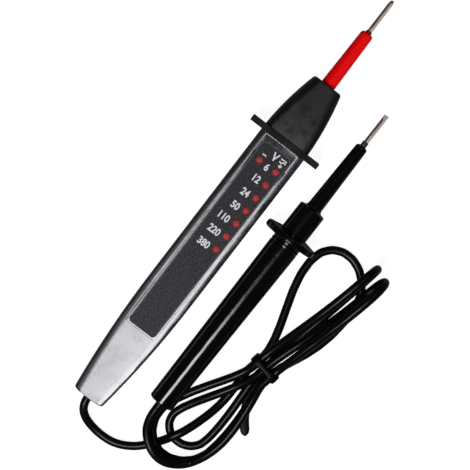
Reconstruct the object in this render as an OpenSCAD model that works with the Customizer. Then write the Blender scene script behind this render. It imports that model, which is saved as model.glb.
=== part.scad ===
// Two-probe voltage tester with eight lamps, a second probe and a bundled lead.
// +Y runs to the tester's tip, +X to the second probe, and Z is up from the table.
// The origin is the middle of the housing's back face.

/* [Tester housing] */
// Half width of the housing at the finger guard
body_half_front = 10.8; // [10.2:0.1:11.5]
// Half width of the housing where it starts to narrow
body_half_knee = 10.7; // [10.2:0.1:11.2]
// Half width of the housing at its tail
body_half_tail = 7.1; // [6.6:0.1:7.6]
// Place of the housing's front end
body_front_y = 65.6; // [64.6:0.2:67]
// Place where the sides start to narrow
body_knee_y = -10; // [-14:1:-6]
// Place of the housing's tail end
body_tail_y = -66.2; // [-68:0.2:-64]
// Thickness of the housing
body_t = 15; // [14.2:0.2:16]
// Thickness of the housing at its tail
tail_t = 11; // [10:0.2:12]
// Wall of the moulded covers
wall = 1.6; // [1.4:0.1:1.8]
// Height of the seam between the covers
seam_z = 5.5; // [5.2:0.1:5.8]
// Width of the sloped rim beside the front face
rim_w = 3.1; // [2.4:0.1:3.2]
// Drop of the sloped rim
rim_drop = 2.6; // [2:0.1:3]
// Radius of the tail's corners
tail_r = 1; // [0.6:0.1:1.4]
// Cut on the edge round the back face
back_edge = 0.6; // [0.4:0.1:0.9]
// Height of the lip that centres the covers
lip_h = 1; // [0.8:0.1:1.2]

/* [Label and lamps] */
// Distance from the housing's front end to the label
label_inset = 2.6; // [2.2:0.1:3]
// Tail edge of the label
label_tail_y = -29.4; // [-31:0.2:-28]
// Half width of the label at its front edge
label_half_front = 7.4; // [7:0.1:7.5]
// Half width of the label at its tail edge
label_half_tail = 6.6; // [6.2:0.1:6.8]
// Corner radius of the label
label_r = 2; // [1.5:0.1:2.5]
// Thickness of the label
label_t = 0.3; // [0.2:0.05:0.4]
// Depth of the recess that the label lies in
recess_depth = 0.4; // [0.4:0.05:0.5]
// Diameter of a lamp's head
lamp_d = 3; // [2.8:0.1:3.2]
// Diameter of a lamp's flange
lamp_flange_d = 3.8; // [3.6:0.1:4]
// Height of a lamp with its flange
lamp_h = 5.3; // [5:0.1:5.6]
// Thickness of a lamp's flange
lamp_flange_t = 1; // [0.8:0.1:1.2]
// Distance between two lamps in the row
lamp_pitch = 6.6; // [6.5:0.05:6.7]
// Distance from the label's front edge to the first lamp
lamp_inset = 8.2; // [7.8:0.1:8.6]
// Place of the row beside the middle
lamp_row_x = 4.65; // [4.4:0.05:4.8]
// Place of the single lamp beside the middle
lamp_minus_x = -3.6; // [-3.8:0.1:-3.2]

/* [Nose and tip] */
// Thickness of the finger guard
guard_t = 2.5; // [2.1:0.1:2.9]
// Width of the finger guard
guard_w = 33.6; // [31:0.2:35]
// Height of the finger guard above the front face
guard_proud = 1; // [0.6:0.1:1.4]
// Corner radius of the finger guard
guard_r = 0.6; // [0.4:0.1:1]
// Place of the nose cap's end
nose_end_y = 95.8; // [94:0.1:97]
// Half width of the nose cap's end
nose_half_end = 6.7; // [6.3:0.1:7.1]
// Half height of the nose cap's end
nose_rise_end = 5.4; // [5:0.1:5.8]
// Length of the nose's spigot inside the housing
spigot_l = 1.8; // [1.6:0.1:2]
// Diameter of the tip rods
rod_d = 2; // [1.8:0.1:2.2]
// Place of the tester's tip
tip_y = 139; // [138:0.1:141]
// Diameter of the red sleeve at its foot
sleeve_d_foot = 6.3; // [5.9:0.1:6.7]
// Diameter of the red sleeve at its end
sleeve_d_end = 5.5; // [5.1:0.1:5.9]
// Place of the red sleeve's end
sleeve_end_y = 122.5; // [121:0.1:124]
// Diameter of the neck collars
collar_d = 2.6; // [2.4:0.1:3]
// Length of the tester's neck collar
collar_l = 1; // [0.8:0.1:1.4]

/* [Board] */
// Thickness of the circuit board
board_t = 1.6; // [1.4:0.1:1.7]
// Half width of the circuit board
board_half = 6.4; // [6:0.1:6.6]
// Tail end of the circuit board
board_tail_y = -21; // [-22:0.5:-20]
// Height of the board's underside
board_z = 4.6; // [4.4:0.1:4.8]
// Diameter of a series resistor
resistor_d = 2.4; // [2.2:0.1:2.6]
// Length of a series resistor's body
resistor_l = 6.3; // [6:0.1:6.6]
// Diameter of a rectifier diode
diode_d = 1.9; // [1.7:0.1:2.1]
// Length of a rectifier diode's body
diode_l = 4.2; // [4:0.1:4.5]
// Diameter of the parts' wires
pin_d = 0.6; // [0.5:0.05:0.7]
// Diameter of the smoothing capacitor
cap_d = 5; // [4.6:0.1:5.2]
// Length of the smoothing capacitor
cap_l = 9; // [8:0.5:10]
// Width of a comparator chip
chip_w = 6.2; // [6:0.1:6.4]
// Length of a comparator chip
chip_l = 9; // [8.6:0.1:9.6]
// Thickness of a comparator chip
chip_t = 2; // [1.8:0.1:2.2]

/* [Screws] */
// Diameter of the cover screws
screw_d = 2.2; // [2:0.1:2.3]
// Diameter of the cover screws' heads
screw_head_d = 3.8; // [3.6:0.1:4]
// Height of the cover screws' heads
screw_head_h = 1.3; // [1.1:0.1:1.4]
// Length of the cover screws below the head
screw_l = 8; // [7:0.2:8.6]
// Diameter of the front cover's screw bosses
boss_d = 4.4; // [4.2:0.1:4.6]
// Diameter of the clamp screws
clamp_screw_d = 1.7; // [1.6:0.1:1.8]

/* [Second probe] */
// Diameter of the probe's handle at the guard
handle_d = 13; // [12.6:0.1:13.4]
// Diameter of the probe's handle at its tail
handle_tail_d = 11.2; // [10.8:0.1:11.6]
// Length of the probe's handle
handle_l = 85; // [83:0.1:86]
// Wall of the probe's handle
handle_wall = 1.6; // [1.4:0.1:1.8]
// Diameter of the probe's guard
disc_d = 23.8; // [23:0.1:24.2]
// Thickness of the probe guard's rim
disc_t = 2.9; // [2.5:0.1:3.3]
// Rise of the guard's front face towards the barrel
disc_rise = 1; // [0.6:0.1:1.3]
// Diameter of the probe's barrel
barrel_d = 11.8; // [11.3:0.1:12.1]
// Length of the probe's barrel
barrel_l = 13.5; // [12.5:0.1:14.5]
// Diameter of the probe's sleeve at its foot
shaft_d_foot = 6.5; // [6.1:0.1:6.9]
// Diameter of the probe's sleeve at its end
shaft_d_end = 5.3; // [4.9:0.1:5.7]
// Length of the probe's sleeve
shaft_l = 32.8; // [31:0.1:34]
// Radius of the fillet at the sleeve's foot
shaft_fillet = 1.6; // [1.2:0.1:1.8]
// Length of the probe's neck collar
neck_l = 2.2; // [1.8:0.1:2.8]
// Length of the probe's bare tip
probe_tip_l = 13.5; // [13:0.1:15]
// Depth of the grip rings behind the guard
ring_depth = 0.2; // [0.15:0.05:0.3]
// Place of the handle's tail end beside the tester
probe_x = 25.2; // [24.8:0.1:25.8]
// Turn of the probe away from the tester
probe_lean = 0.45; // [0.3:0.05:0.6]
// Place of the handle's tail end
probe_tail_y = -49.4; // [-50:0.1:-49]
// Height of the handle's axis at its tail end
probe_tail_z = 10.3; // [10.2:0.1:10.6]

/* [Lead] */
// Diameter of the lead
lead_d = 3.6; // [3.4:0.1:3.6]
// Diameter of the lead's copper core with its inner skin
core_d = 1.8; // [1.6:0.1:2]
// Width of the strap that ties the hank
strap_w = 4; // [3.6:0.1:4.4]
// Thickness of the strap
strap_t = 0.8; // [0.6:0.05:0.85]

/* [Hidden] */

// Clearances and overruns
slide_gap = 0.1;
fit_gap = 0.2;
rest_gap = 0.3;
over = 1;
fine = 48;

// Heights and places along the tester
body_mid_z = body_t / 2;
board_top_z = board_z + board_t;
guard_front_y = body_front_y + guard_t;
slope_y = label_tail_y - label_r / 2;
lead_r = lead_d / 2;
lead_z = seam_z;
rod_r = rod_d / 2;
root_share = 0.6;
root_d = rod_d * root_share;
label_front_y = body_front_y - label_inset;
lamp_first_y = label_front_y - lamp_inset;

// The housing's half width, which narrows towards the tail as a parabola, and its thickness
function body_half(y) =
    y > body_knee_y
        ? lookup(y, [[body_knee_y, body_half_knee], [body_front_y, body_half_front]])
        : body_half_knee - (body_half_knee - body_half_tail)
            * pow((body_knee_y - y) / (body_knee_y - body_tail_y), 2);
function body_top(y) = lookup(y, [[body_tail_y, tail_t], [slope_y, body_t]]);

// One closed solid through rings of equally many points
module loft(rings) {
    n = len(rings[0]);
    m = len(rings);
    sides = [for (i = [0:m - 2], j = [0:n - 1]) each [
        [i * n + j, i * n + (j + 1) % n, (i + 1) * n + j],
        [i * n + (j + 1) % n, (i + 1) * n + (j + 1) % n, (i + 1) * n + j]]];
    foot = [for (j = [1:n - 2]) [0, j + 1, j]];
    head = [for (j = [1:n - 2]) [(m - 1) * n, (m - 1) * n + j, (m - 1) * n + j + 1]];
    polyhedron(points = [for (r = rings) each r], faces = concat(sides, foot, head));
}

// A solid turned round the Y axis from [radius, place] points
module turned(points) {
    rotate([-90, 0, 0])
        rotate_extrude($fn = fine)
            polygon(points);
}

// A round bar along Y
module bar_y(d, from_y, to_y) {
    translate([0, from_y, 0])
        rotate([-90, 0, 0])
            cylinder(h = to_y - from_y, d = d, $fn = fine);
}

// A round bar between two points
module bar(a, b, d) {
    v = b - a;
    translate(a)
        rotate([0, acos(v.z / norm(v)), atan2(v.y, v.x)])
            cylinder(h = norm(v), d = d, $fn = 24);
}

// An arc of points round a centre
function arc(c, r, from_a, to_a, n) =
    [for (i = [0:n]) let (a = from_a + (to_a - from_a) * i / n) c + r * [cos(a), sin(a)]];

// A four-sided outline with round corners that narrows from one end to the other
function round_taper(half_a, y_a, half_b, y_b, r) = concat(
    arc([half_a - r, y_a - r], r, 0, 90, 6), arc([r - half_a, y_a - r], r, 90, 180, 6),
    arc([r - half_b, y_b + r], r, 180, 270, 6), arc([half_b - r, y_b + r], r, 270, 360, 6));

// The housing's section: flat back, upright sides, and a crowned rim up to a flat face
rim_steps = 5;
rim_crown_share = 0.62;
function body_section(half, top, edge, rim, drop, y) =
    let (
        right = concat([[half - edge, 0], [half, edge]],
            [for (i = [0:rim_steps]) let (a = 90 * i / rim_steps, k = rim_crown_share)
                [half - rim * (k * (1 - cos(a)) + (1 - k) * i / rim_steps),
                 top - drop + drop * (k * sin(a) + (1 - k) * i / rim_steps)]]),
        left = [for (i = [len(right) - 1:-1:0]) [-right[i].x, right[i].y]]
    )
    [for (p = concat(right, left)) [p.x, y, p.y]];

// The housing's outer form, drawn in by an inset on its sides and tail
module body_form(inset = 0, floor_z = 0, roof = 0, front = 0) {
    tail_steps = 4;
    side_steps = 5;
    knee_steps = 3;
    tail_end = body_tail_y + inset;
    side_y = tail_end + tail_r;
    stations = concat(
        [for (i = [0:tail_steps]) tail_end + tail_r * (1 - cos(90 * i / tail_steps))],
        [for (i = [1:side_steps]) side_y + (slope_y - side_y) * i / side_steps],
        [for (i = [1:knee_steps]) slope_y + (body_knee_y - slope_y) * i / knee_steps],
        [body_front_y + front]);
    function corner(y) = y < tail_end + tail_r
        ? tail_r - sqrt(max(0, tail_r * tail_r - pow(tail_end + tail_r - y, 2))) : 0;
    translate([0, 0, floor_z])
        loft([for (y = stations)
            body_section(body_half(max(y, body_tail_y)) - inset - corner(y),
                body_top(y) - roof - floor_z, back_edge, rim_w - inset / 2,
                rim_drop, y)]);
}

// The room inside the covers, open at the front
module body_cavity() {
    body_form(inset = wall, floor_z = wall, roof = wall, front = over);
}

// Half of the housing above or below the seam
module above_seam(depth = body_t) {
    translate([-body_half_front - over, body_tail_y - over, seam_z])
        cube([2 * (body_half_front + over), body_front_y - body_tail_y + 2 * over, depth]);
}
module below_seam() {
    translate([-body_half_front - over, body_tail_y - over, -over])
        cube([2 * (body_half_front + over), body_front_y - body_tail_y + 2 * over,
            seam_z + over]);
}

// Places of the cover screws and of the clamp screws
rear_boss_d = screw_head_d + 2 * fit_gap + wall;
board_front_y = body_front_y - spigot_l - rear_boss_d - 2 * rest_gap;
boss_front_y = board_front_y + rest_gap + rear_boss_d / 2;
boss_front_x = body_half(boss_front_y) - wall - slide_gap - boss_d / 2;
boss_tail_y = board_tail_y - rest_gap - rear_boss_d / 2;
boss_tail_x = rear_boss_d / 2 + rest_gap;
SCREW_PLACES = [
    [boss_front_x, boss_front_y], [-boss_front_x, boss_front_y], [boss_tail_x, boss_tail_y]];
clamp_inset = 16;
clamp_y = body_tail_y + clamp_inset;
clamp_post_d = 2 * clamp_screw_d;
clamp_x = lead_r + clamp_post_d / 2 + rest_gap;
clamp_l = 2 * clamp_screw_d;
clamp_t = clamp_screw_d;
clamp_z = lead_z + lead_r + slide_gap;

// Heights of the screws
head_seat_z = wall + screw_head_h;
screw_top_z = head_seat_z + screw_l;

module front_cover() {
    color("#1b1b1e")
    difference() {
        union() {
            intersection() {
                difference() {
                    body_form();
                    body_cavity();
                }
                above_seam();
            }
            intersection() {
                body_form(inset = wall / 2, roof = wall / 2);
                for (p = SCREW_PLACES)
                    translate([p.x, p.y, seam_z])
                        cylinder(h = body_t, d = boss_d, $fn = fine);
            }
        }
        // Groove for the rear cover's lip
        intersection() {
            body_form(inset = wall / 2 - slide_gap / 2, front = over);
            above_seam(lip_h + slide_gap);
            difference() {
                translate([-body_half_front, body_tail_y, 0])
                    cube([2 * body_half_front, body_front_y - body_tail_y + over, body_t]);
                for (p = SCREW_PLACES)
                    translate([p.x, p.y, 0])
                        cylinder(h = body_t, d = boss_d + slide_gap, $fn = fine);
            }
        }
        for (p = SCREW_PLACES)
            translate([p.x, p.y, seam_z - over])
                cylinder(h = screw_top_z + fit_gap - seam_z + over, d = screw_d + slide_gap,
                    $fn = fine);
        // Recess for the label
        translate([0, 0, body_t - recess_depth])
            linear_extrude(recess_depth + over)
                polygon(round_taper(label_half_front + slide_gap, label_front_y + slide_gap,
                    label_half_tail + slide_gap, label_tail_y - slide_gap, label_r));
        lamp_holes(body_t - wall - over, body_t + over);
        lead_hole();
    }
}

module rear_cover() {
    board_posts = [for (y = [board_tail_y + board_half, 0, board_front_y - 2 * board_half]) y];
    color("#19191c")
    difference() {
        union() {
            intersection() {
                difference() {
                    body_form();
                    body_cavity();
                }
                below_seam();
            }
            // Lip that centres the front cover
            intersection() {
                difference() {
                    body_form(inset = wall / 2 + slide_gap / 2);
                    body_cavity();
                }
                translate([0, 0, -over])
                    above_seam(lip_h + over);
            }
            for (p = SCREW_PLACES)
                translate([p.x, p.y, 0])
                    cylinder(h = seam_z, d = rear_boss_d, $fn = fine);
            // Cross ribs that carry the board
            for (y = board_posts)
                translate([-board_half, y, wall / 2])
                    cube([2 * board_half, wall, board_z - wall / 2]);
            // Posts of the lead clamp
            for (x = [-clamp_x, clamp_x])
                translate([x, clamp_y, wall / 2])
                    cylinder(h = clamp_z - wall / 2, d = clamp_post_d, $fn = fine);
            // Cradle under the lead
            translate([-lead_r, clamp_y - clamp_l / 2, wall / 2])
                cube([lead_d, clamp_l, lead_z - lead_r - wall / 2]);
        }
        for (p = SCREW_PLACES)
            translate([p.x, p.y, -over]) {
                cylinder(h = seam_z + lip_h + 2 * over, d = screw_d + 2 * fit_gap, $fn = fine);
                cylinder(h = head_seat_z + over, d = screw_head_d + 2 * fit_gap, $fn = fine);
            }
        for (x = [-clamp_x, clamp_x])
            translate([x, clamp_y, wall])
                cylinder(h = body_t, d = clamp_screw_d + slide_gap, $fn = fine);
        lead_hole();
    }
}

// The hole in the tail wall, half in each cover
module lead_hole() {
    translate([0, 0, lead_z])
        bar_y(lead_d + fit_gap, body_tail_y - over, body_tail_y + wall + over);
}

// The seven lamps of the row and the single one beside the first
function lamp_y(i) = lamp_first_y - i * lamp_pitch;
LAMP_PLACES = concat([[lamp_minus_x, lamp_first_y]],
    [for (i = [0:6]) [lamp_row_x, lamp_y(i)]]);
lamp_top_z = body_t + slide_gap;
lamp_foot_z = lamp_top_z - lamp_h;
lamp_hole_d = lamp_d + fit_gap;

module lamp_holes(from_z, to_z) {
    for (p = LAMP_PLACES)
        translate([p.x, p.y, from_z])
            cylinder(h = to_z - from_z, d = lamp_hole_d, $fn = fine);
}

module scale_label() {
    color("#3a3a42")
    difference() {
        translate([0, 0, body_t - recess_depth])
            linear_extrude(label_t)
                polygon(round_taper(label_half_front, label_front_y,
                    label_half_tail, label_tail_y, label_r - slide_gap));
        lamp_holes(body_t - wall, body_t + over);
    }
}

module indicator_lamps() {
    dome = lamp_d / 2;
    crown = dome / 2;
    color("#c83c37")
    for (p = LAMP_PLACES)
        translate([p.x, p.y, lamp_foot_z])
            rotate_extrude($fn = fine)
                polygon(concat([[0, 0], [lamp_flange_d / 2, 0],
                    [lamp_flange_d / 2, lamp_flange_t], [dome, lamp_flange_t]],
                    [for (i = [0:5]) let (a = 90 * i / 5)
                        [dome * cos(a), lamp_h - crown + crown * sin(a)]]));
}

module lamp_pins() {
    color("silver")
    for (p = LAMP_PLACES, side = [-1, 1])
        translate([p.x, p.y + side * pin_pitch / 2, board_top_z])
            cylinder(h = lamp_foot_z - board_top_z, d = pin_d, $fn = 16);
}
pin_pitch_share = 0.85;
pin_pitch = lamp_d * pin_pitch_share;

module circuit_board() {
    color("#2f6b3a")
    translate([-board_half, board_tail_y, board_z])
        cube([2 * board_half, board_front_y - board_tail_y, board_t]);
}

// A round part that lies on the board, with a wire down at each end
module axial_part(d, l, stand, x, y) {
    z = board_top_z + stand + d / 2;
    reach = l / 2 + d / 2;
    translate([x, y, z]) {
        rotate([-90, 0, 0])
            rotate_extrude($fn = fine)
                polygon([[0, -l / 2], [d / 2 - d / 8, -l / 2], [d / 2, -l / 2 + d / 8],
                    [d / 2, l / 2 - d / 8], [d / 2 - d / 8, l / 2], [0, l / 2]]);
        bar_y(pin_d, -reach, reach);
    }
    for (side = [-1, 1])
        translate([x, y + side * reach, board_top_z])
            cylinder(h = z - board_top_z, d = pin_d, $fn = 16);
}

part_x = -board_half / 2;
resistor_pitch = resistor_l + 2 * resistor_d + pin_d;
resistor_first_y = lamp_y(1);

module series_resistors() {
    color("#c9b48a")
    for (i = [0:2])
        axial_part(resistor_d, resistor_l, slide_gap, part_x,
            resistor_first_y - i * resistor_pitch - resistor_l / 2);
}

diode_span = diode_l + diode_d + pin_d;
diode_pitch = diode_span + 2 * rest_gap;
diode_first_y = board_tail_y + rest_gap + diode_span / 2;

module rectifier_diodes() {
    color("#2a2a2a")
    for (i = [0:3])
        axial_part(diode_d, diode_l, slide_gap,
            lamp_row_x, diode_first_y + i * diode_pitch);
}

chip_pitch = chip_l + chip_w / 3;
chip_first_y = resistor_first_y - 3 * resistor_pitch - chip_l;

module comparator_chips() {
    legs = 5;
    leg_pitch = chip_l / (legs + 1);
    leg_w = leg_pitch / 3;
    leg_out = chip_t / 3;
    chip_x = -board_half + chip_w / 2 + 2 * leg_out;
    color("#222222")
    for (i = [0:1])
        translate([chip_x, chip_first_y - i * chip_pitch, board_top_z]) {
            translate([-chip_w / 2, 0, 0])
                cube([chip_w, chip_l, chip_t]);
            for (k = [1:legs])
                translate([-chip_w / 2 - leg_out, k * leg_pitch - leg_w / 2, 0])
                    cube([chip_w + 2 * leg_out, leg_w, chip_t / 2]);
        }
}

module smoothing_capacitor() {
    cap_y = chip_first_y - chip_pitch - chip_t;
    edge = cap_d / 12;
    color("#27303c")
    translate([part_x, cap_y, board_top_z + cap_d / 2])
        rotate([90, 0, 0])
            rotate_extrude($fn = fine)
                polygon([[0, 0], [cap_d / 2 - edge, 0], [cap_d / 2, edge],
                    [cap_d / 2, cap_l - edge], [cap_d / 2 - edge, cap_l], [0, cap_l]]);
}

// The guard's window takes the nose cap's spigot
spigot_half = body_half_front - wall - fit_gap;
spigot_low_z = wall + fit_gap;
spigot_top_z = body_t - wall - fit_gap;

module spigot_block(grow, from_y, to_y) {
    edge = wall;
    half = spigot_half + grow;
    low = spigot_low_z - grow;
    top = spigot_top_z + grow;
    slope = rim_w - wall / 2;
    translate([0, to_y, 0])
        rotate([90, 0, 0])
            linear_extrude(to_y - from_y)
                polygon([[edge - half, low], [half - edge, low], [half, low + edge],
                    [half, top - rim_drop], [half - slope, top], [slope - half, top],
                    [-half, top - rim_drop], [-half, low + edge]]);
}

module finger_guard() {
    guard_h = body_t + guard_proud;
    color("#1c1c1f")
    difference() {
        translate([0, guard_front_y, guard_h / 2])
            rotate([90, 0, 0])
                linear_extrude(guard_t)
                    polygon(round_taper(guard_w / 2, guard_h / 2, guard_w / 2, -guard_h / 2,
                        guard_r));
        spigot_block(slide_gap, body_front_y - over, guard_front_y + over);
    }
}

// The nose cap's sides bulge a little on their way to the flat end
nose_l = nose_end_y - guard_front_y;
nose_steps = 7;
nose_bulge_share = 0.075;
nose_edge_share = 0.35;
function nose_share(i) = i / nose_steps;
function nose_mix(a, b, u) = a + (b - a) * u + nose_bulge_share * a * 4 * u * (1 - u);
function nose_ring(u, end_cut) =
    let (
        half = nose_mix(body_half_front, nose_half_end, u) - end_cut,
        rise = nose_mix(body_mid_z, nose_rise_end, u) - end_cut,
        round_r = rim_w + (min(half, rise) * nose_edge_share * 2 - rim_w) * u,
        r = min(round_r, min(half, rise)),
        corners = concat(
            arc([half - r, rise - r], r, 0, 90, 5), arc([r - half, rise - r], r, 90, 180, 5),
            arc([r - half, r - rise], r, 180, 270, 5), arc([half - r, r - rise], r, 270, 360, 5))
    )
    [for (p = corners) [p.x, guard_front_y + nose_l * u, body_mid_z + p.y]];
sleeve_socket_l = sleeve_d_foot;
sleeve_socket_d = sleeve_d_end;
nose_end_cut = back_edge;

module nose_cap() {
    color("#1a1a1d")
    difference() {
        union() {
            loft(concat(
                [for (i = [0:nose_steps - 1]) nose_ring(nose_share(i), 0)],
                [nose_ring(1 - nose_end_cut / nose_l, 0), nose_ring(1, nose_end_cut)]));
            spigot_block(0, body_front_y - spigot_l, guard_front_y + slide_gap);
        }
        translate([0, 0, body_mid_z]) {
            bar_y(root_d + slide_gap, body_front_y - spigot_l - over, nose_end_y + over);
            bar_y(sleeve_socket_d + slide_gap, nose_end_y - sleeve_socket_l, nose_end_y + over);
        }
    }
}

module tester_tip_sleeve() {
    foot = sleeve_d_foot / 2;
    end = sleeve_d_end / 2;
    bore = (root_d + slide_gap) / 2;
    round_r = end / 2;
    color("#e3101a")
    translate([0, 0, body_mid_z])
        turned(concat(
            [[bore, nose_end_y - sleeve_socket_l + slide_gap],
             [sleeve_socket_d / 2, nose_end_y - sleeve_socket_l + slide_gap],
             [sleeve_socket_d / 2, nose_end_y], [foot, nose_end_y]],
            [for (i = [0:5]) let (a = 90 * i / 5)
                [end - round_r + round_r * cos(a), sleeve_end_y - round_r + round_r * sin(a)]],
            [[bore, sleeve_end_y]]));
}

module tester_tip_collar() {
    color("#2b2624")
    translate([0, 0, body_mid_z])
        ring_collar(sleeve_end_y, collar_l);
}

// A short collar with a cut edge round a rod
module ring_collar(from_y, l) {
    edge = collar_d / 12;
    bore = (root_d + slide_gap) / 2;
    turned([[bore, from_y], [collar_d / 2, from_y], [collar_d / 2, from_y + l - edge],
        [collar_d / 2 - edge, from_y + l], [bore, from_y + l]]);
}

// A steel rod with a thinner root, a shoulder and a point that is ground on two sides
grind_share = 1.2;
module ground_rod(from_y, shoulder_y, to_y) {
    grind_l = rod_d * grind_share;
    land = rod_r / 2;
    color("#b9b2a8")
    difference() {
        union() {
            bar_y(root_d, from_y, shoulder_y + over);
            bar_y(rod_d, shoulder_y, to_y);
        }
        for (side = [0, 1])
            mirror([0, 0, side])
                translate([-rod_r - over, to_y - grind_l, rod_r])
                    rotate([-atan((rod_r - land) / grind_l), 0, 0])
                        cube([rod_d + 2 * over, grind_l + over, rod_d]);
    }
}

contact_share = 1.7;
contact_y = board_front_y + rest_gap;
contact_l = body_front_y - spigot_l - rest_gap - contact_y;

module tester_tip_rod() {
    translate([0, 0, body_mid_z])
        ground_rod(contact_y + slide_gap, sleeve_end_y + collar_l, tip_y);
}

module tip_contact() {
    contact_d = rod_d * contact_share;
    tongue_l = contact_d;
    tongue_t = board_top_z - board_z - slide_gap;
    color("#c7a24a")
    difference() {
        union() {
            translate([0, 0, body_mid_z])
                bar_y(contact_d, contact_y, contact_y + contact_l);
            translate([-rod_r, contact_y - tongue_l, board_top_z])
                cube([rod_d, tongue_l + contact_l, tongue_t]);
        }
        translate([0, 0, body_mid_z])
            bar_y(root_d + slide_gap, contact_y, contact_y + contact_l + over);
    }
}

// A pan-head screw that points up, with a cross slot in its head
slot_share = 0.6;
module pan_screw(d, head_d, head_h, l) {
    slot_w = head_d / 6;
    slot_l = head_d * slot_share;
    point = d / 2;
    color("silver")
    difference() {
        rotate_extrude($fn = fine)
            polygon([[0, -head_h], [head_d / 2 - head_h / 3, -head_h],
                [head_d / 2, -head_h + head_h / 3], [head_d / 2, 0], [d / 2, 0],
                [d / 2, l - point], [point / 2, l], [0, l]]);
        for (turn = [0, 90])
            rotate([0, 0, turn])
                translate([-slot_l / 2, -slot_w / 2, -head_h - over])
                    cube([slot_l, slot_w, head_h / 2 + over]);
    }
}

module cover_screws() {
    for (p = SCREW_PLACES)
        translate([p.x, p.y, head_seat_z])
            pan_screw(screw_d, screw_head_d, screw_head_h, screw_l);
}

module lead_clamp() {
    color("#8a8a86")
    difference() {
        translate([-clamp_x - clamp_post_d / 2, clamp_y - clamp_l / 2, clamp_z])
            cube([2 * clamp_x + clamp_post_d, clamp_l, clamp_t]);
        for (x = [-clamp_x, clamp_x])
            translate([x, clamp_y, clamp_z - over])
                cylinder(h = clamp_t + 2 * over, d = clamp_screw_d + fit_gap, $fn = fine);
    }
}

clamp_head_share = 1.7;
clamp_grip_share = 1.5;
module clamp_screws() {
    head_d = clamp_head_share * clamp_screw_d;
    head_h = clamp_screw_d / 2;
    for (x = [-clamp_x, clamp_x])
        translate([x, clamp_y, clamp_z + clamp_t])
            rotate([180, 0, 0])
                pan_screw(clamp_screw_d, head_d, head_h, clamp_t + clamp_grip_share * clamp_screw_d);
}

sheath_end_y = clamp_y + clamp_l + lead_d;
wire_end = [-board_half / 2, board_tail_y - fit_gap, board_z + board_t / 2];

module tester_lead_end() {
    color("#141416")
    translate([0, 0, lead_z])
        bar_y(lead_d, body_tail_y, sheath_end_y);
}

module tester_lead_core() {
    color("#b87333")
    bar([0, sheath_end_y + fit_gap, lead_z], wire_end, core_d);
}

// The second probe lies with its guard on the table and its tail a little lower
disc_y = handle_l;
disc_rest_z = disc_d / 2;
probe_tilt = asin((disc_rest_z - probe_tail_z) / (disc_y + disc_t / 2));
module place_probe() {
    translate([probe_x, probe_tail_y, probe_tail_z])
        rotate([probe_tilt, 0, -probe_lean])
            children();
}

barrel_y = handle_l + disc_t;
barrel_end_y = barrel_y + barrel_l;
shaft_end_y = barrel_end_y + shaft_l;
neck_end_y = shaft_end_y + neck_l;
probe_tip_y = neck_end_y + probe_tip_l;
handle_bore_r = handle_d / 2 - handle_wall;
tail_bore_r = handle_tail_d / 2 - handle_wall;
plug_r = handle_bore_r - slide_gap;
plug_l = disc_t * 4;

module probe_handle() {
    rings = 2;
    pitch = handle_wall;
    edge = handle_wall / 3;
    r = handle_d / 2;
    tail = handle_tail_d / 2;
    first = handle_l - rings * pitch;
    color("#141416")
    place_probe()
        turned(concat(
            [[lead_r + slide_gap, handle_wall], [lead_r + slide_gap, edge],
             [lead_r + slide_gap + edge, 0], [tail - edge, 0], [tail, edge]],
            [for (i = [0:rings - 1]) let (y = first + i * pitch) each [
                [r, y], [r - ring_depth, y + ring_depth],
                [r - ring_depth, y + pitch / 2 - ring_depth], [r, y + pitch / 2]]],
            [[r, handle_l], [handle_bore_r, handle_l],
             [handle_bore_r, barrel_y - plug_l - rest_gap], [tail_bore_r, handle_wall]]));
}

module probe_guard() {
    r = disc_d / 2;
    edge = disc_t / 5;
    color("#161618")
    place_probe()
        turned([[plug_r + slide_gap, disc_y], [r - edge, disc_y], [r, disc_y + edge],
            [r, disc_y + disc_t - edge], [r - edge, disc_y + disc_t],
            [barrel_d / 2 + slide_gap, disc_y + disc_t + disc_rise],
            [barrel_d / 2 + slide_gap, disc_y + disc_t],
            [plug_r + slide_gap, disc_y + disc_t]]);
}

module probe_barrel() {
    r = barrel_d / 2;
    foot = shaft_d_foot / 2;
    end = shaft_d_end / 2;
    bore = (root_d + slide_gap) / 2;
    shoulder = shaft_fillet / 2;
    tip_r = end / 2;
    color("#151517")
    place_probe()
        turned(concat(
            [[bore, barrel_y - plug_l], [plug_r, barrel_y - plug_l], [plug_r, barrel_y],
             [r, barrel_y]],
            arc([r - shoulder, barrel_end_y - shoulder], shoulder, 0, 90, 4),
            arc([foot + shaft_fillet, barrel_end_y + shaft_fillet], shaft_fillet, 270, 180, 4),
            arc([end - tip_r, shaft_end_y - tip_r], tip_r, 0, 90, 4),
            [[bore, shaft_end_y]]));
}

module probe_neck_collar() {
    color("#1a1919")
    place_probe()
        ring_collar(shaft_end_y, neck_l);
}

ferrule_l = plug_l;
rod_tail_y = barrel_y - plug_l - ferrule_l / 2;
probe_ferrule_y = barrel_y - plug_l - ferrule_l - slide_gap;

module probe_tip_rod() {
    place_probe()
        ground_rod(rod_tail_y, neck_end_y, probe_tip_y);
}

module probe_ferrule() {
    r = rod_d;
    color("#c7a24a")
    place_probe()
        difference() {
            bar_y(2 * r, probe_ferrule_y, probe_ferrule_y + ferrule_l);
            bar_y(root_d + slide_gap, rod_tail_y - slide_gap, probe_ferrule_y + ferrule_l + over);
            bar_y(core_d + slide_gap, probe_ferrule_y - over, rod_tail_y - ferrule_l / 4);
        }
}

// The lead's end in the handle has a ball end, so that the probe turns on the lead
pivot_back = lead_r + rest_gap + slide_gap;
probe_sheath_l = handle_d;

module probe_lead_end() {
    color("#141416")
    place_probe()
        union() {
            translate([0, -pivot_back, 0])
                sphere(d = lead_d, $fn = fine);
            bar_y(lead_d, -pivot_back, probe_sheath_l);
        }
}

module probe_lead_core() {
    color("#b87333")
    place_probe()
        bar_y(core_d, probe_sheath_l, rod_tail_y - ferrule_l / 4 - slide_gap);
}

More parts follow.
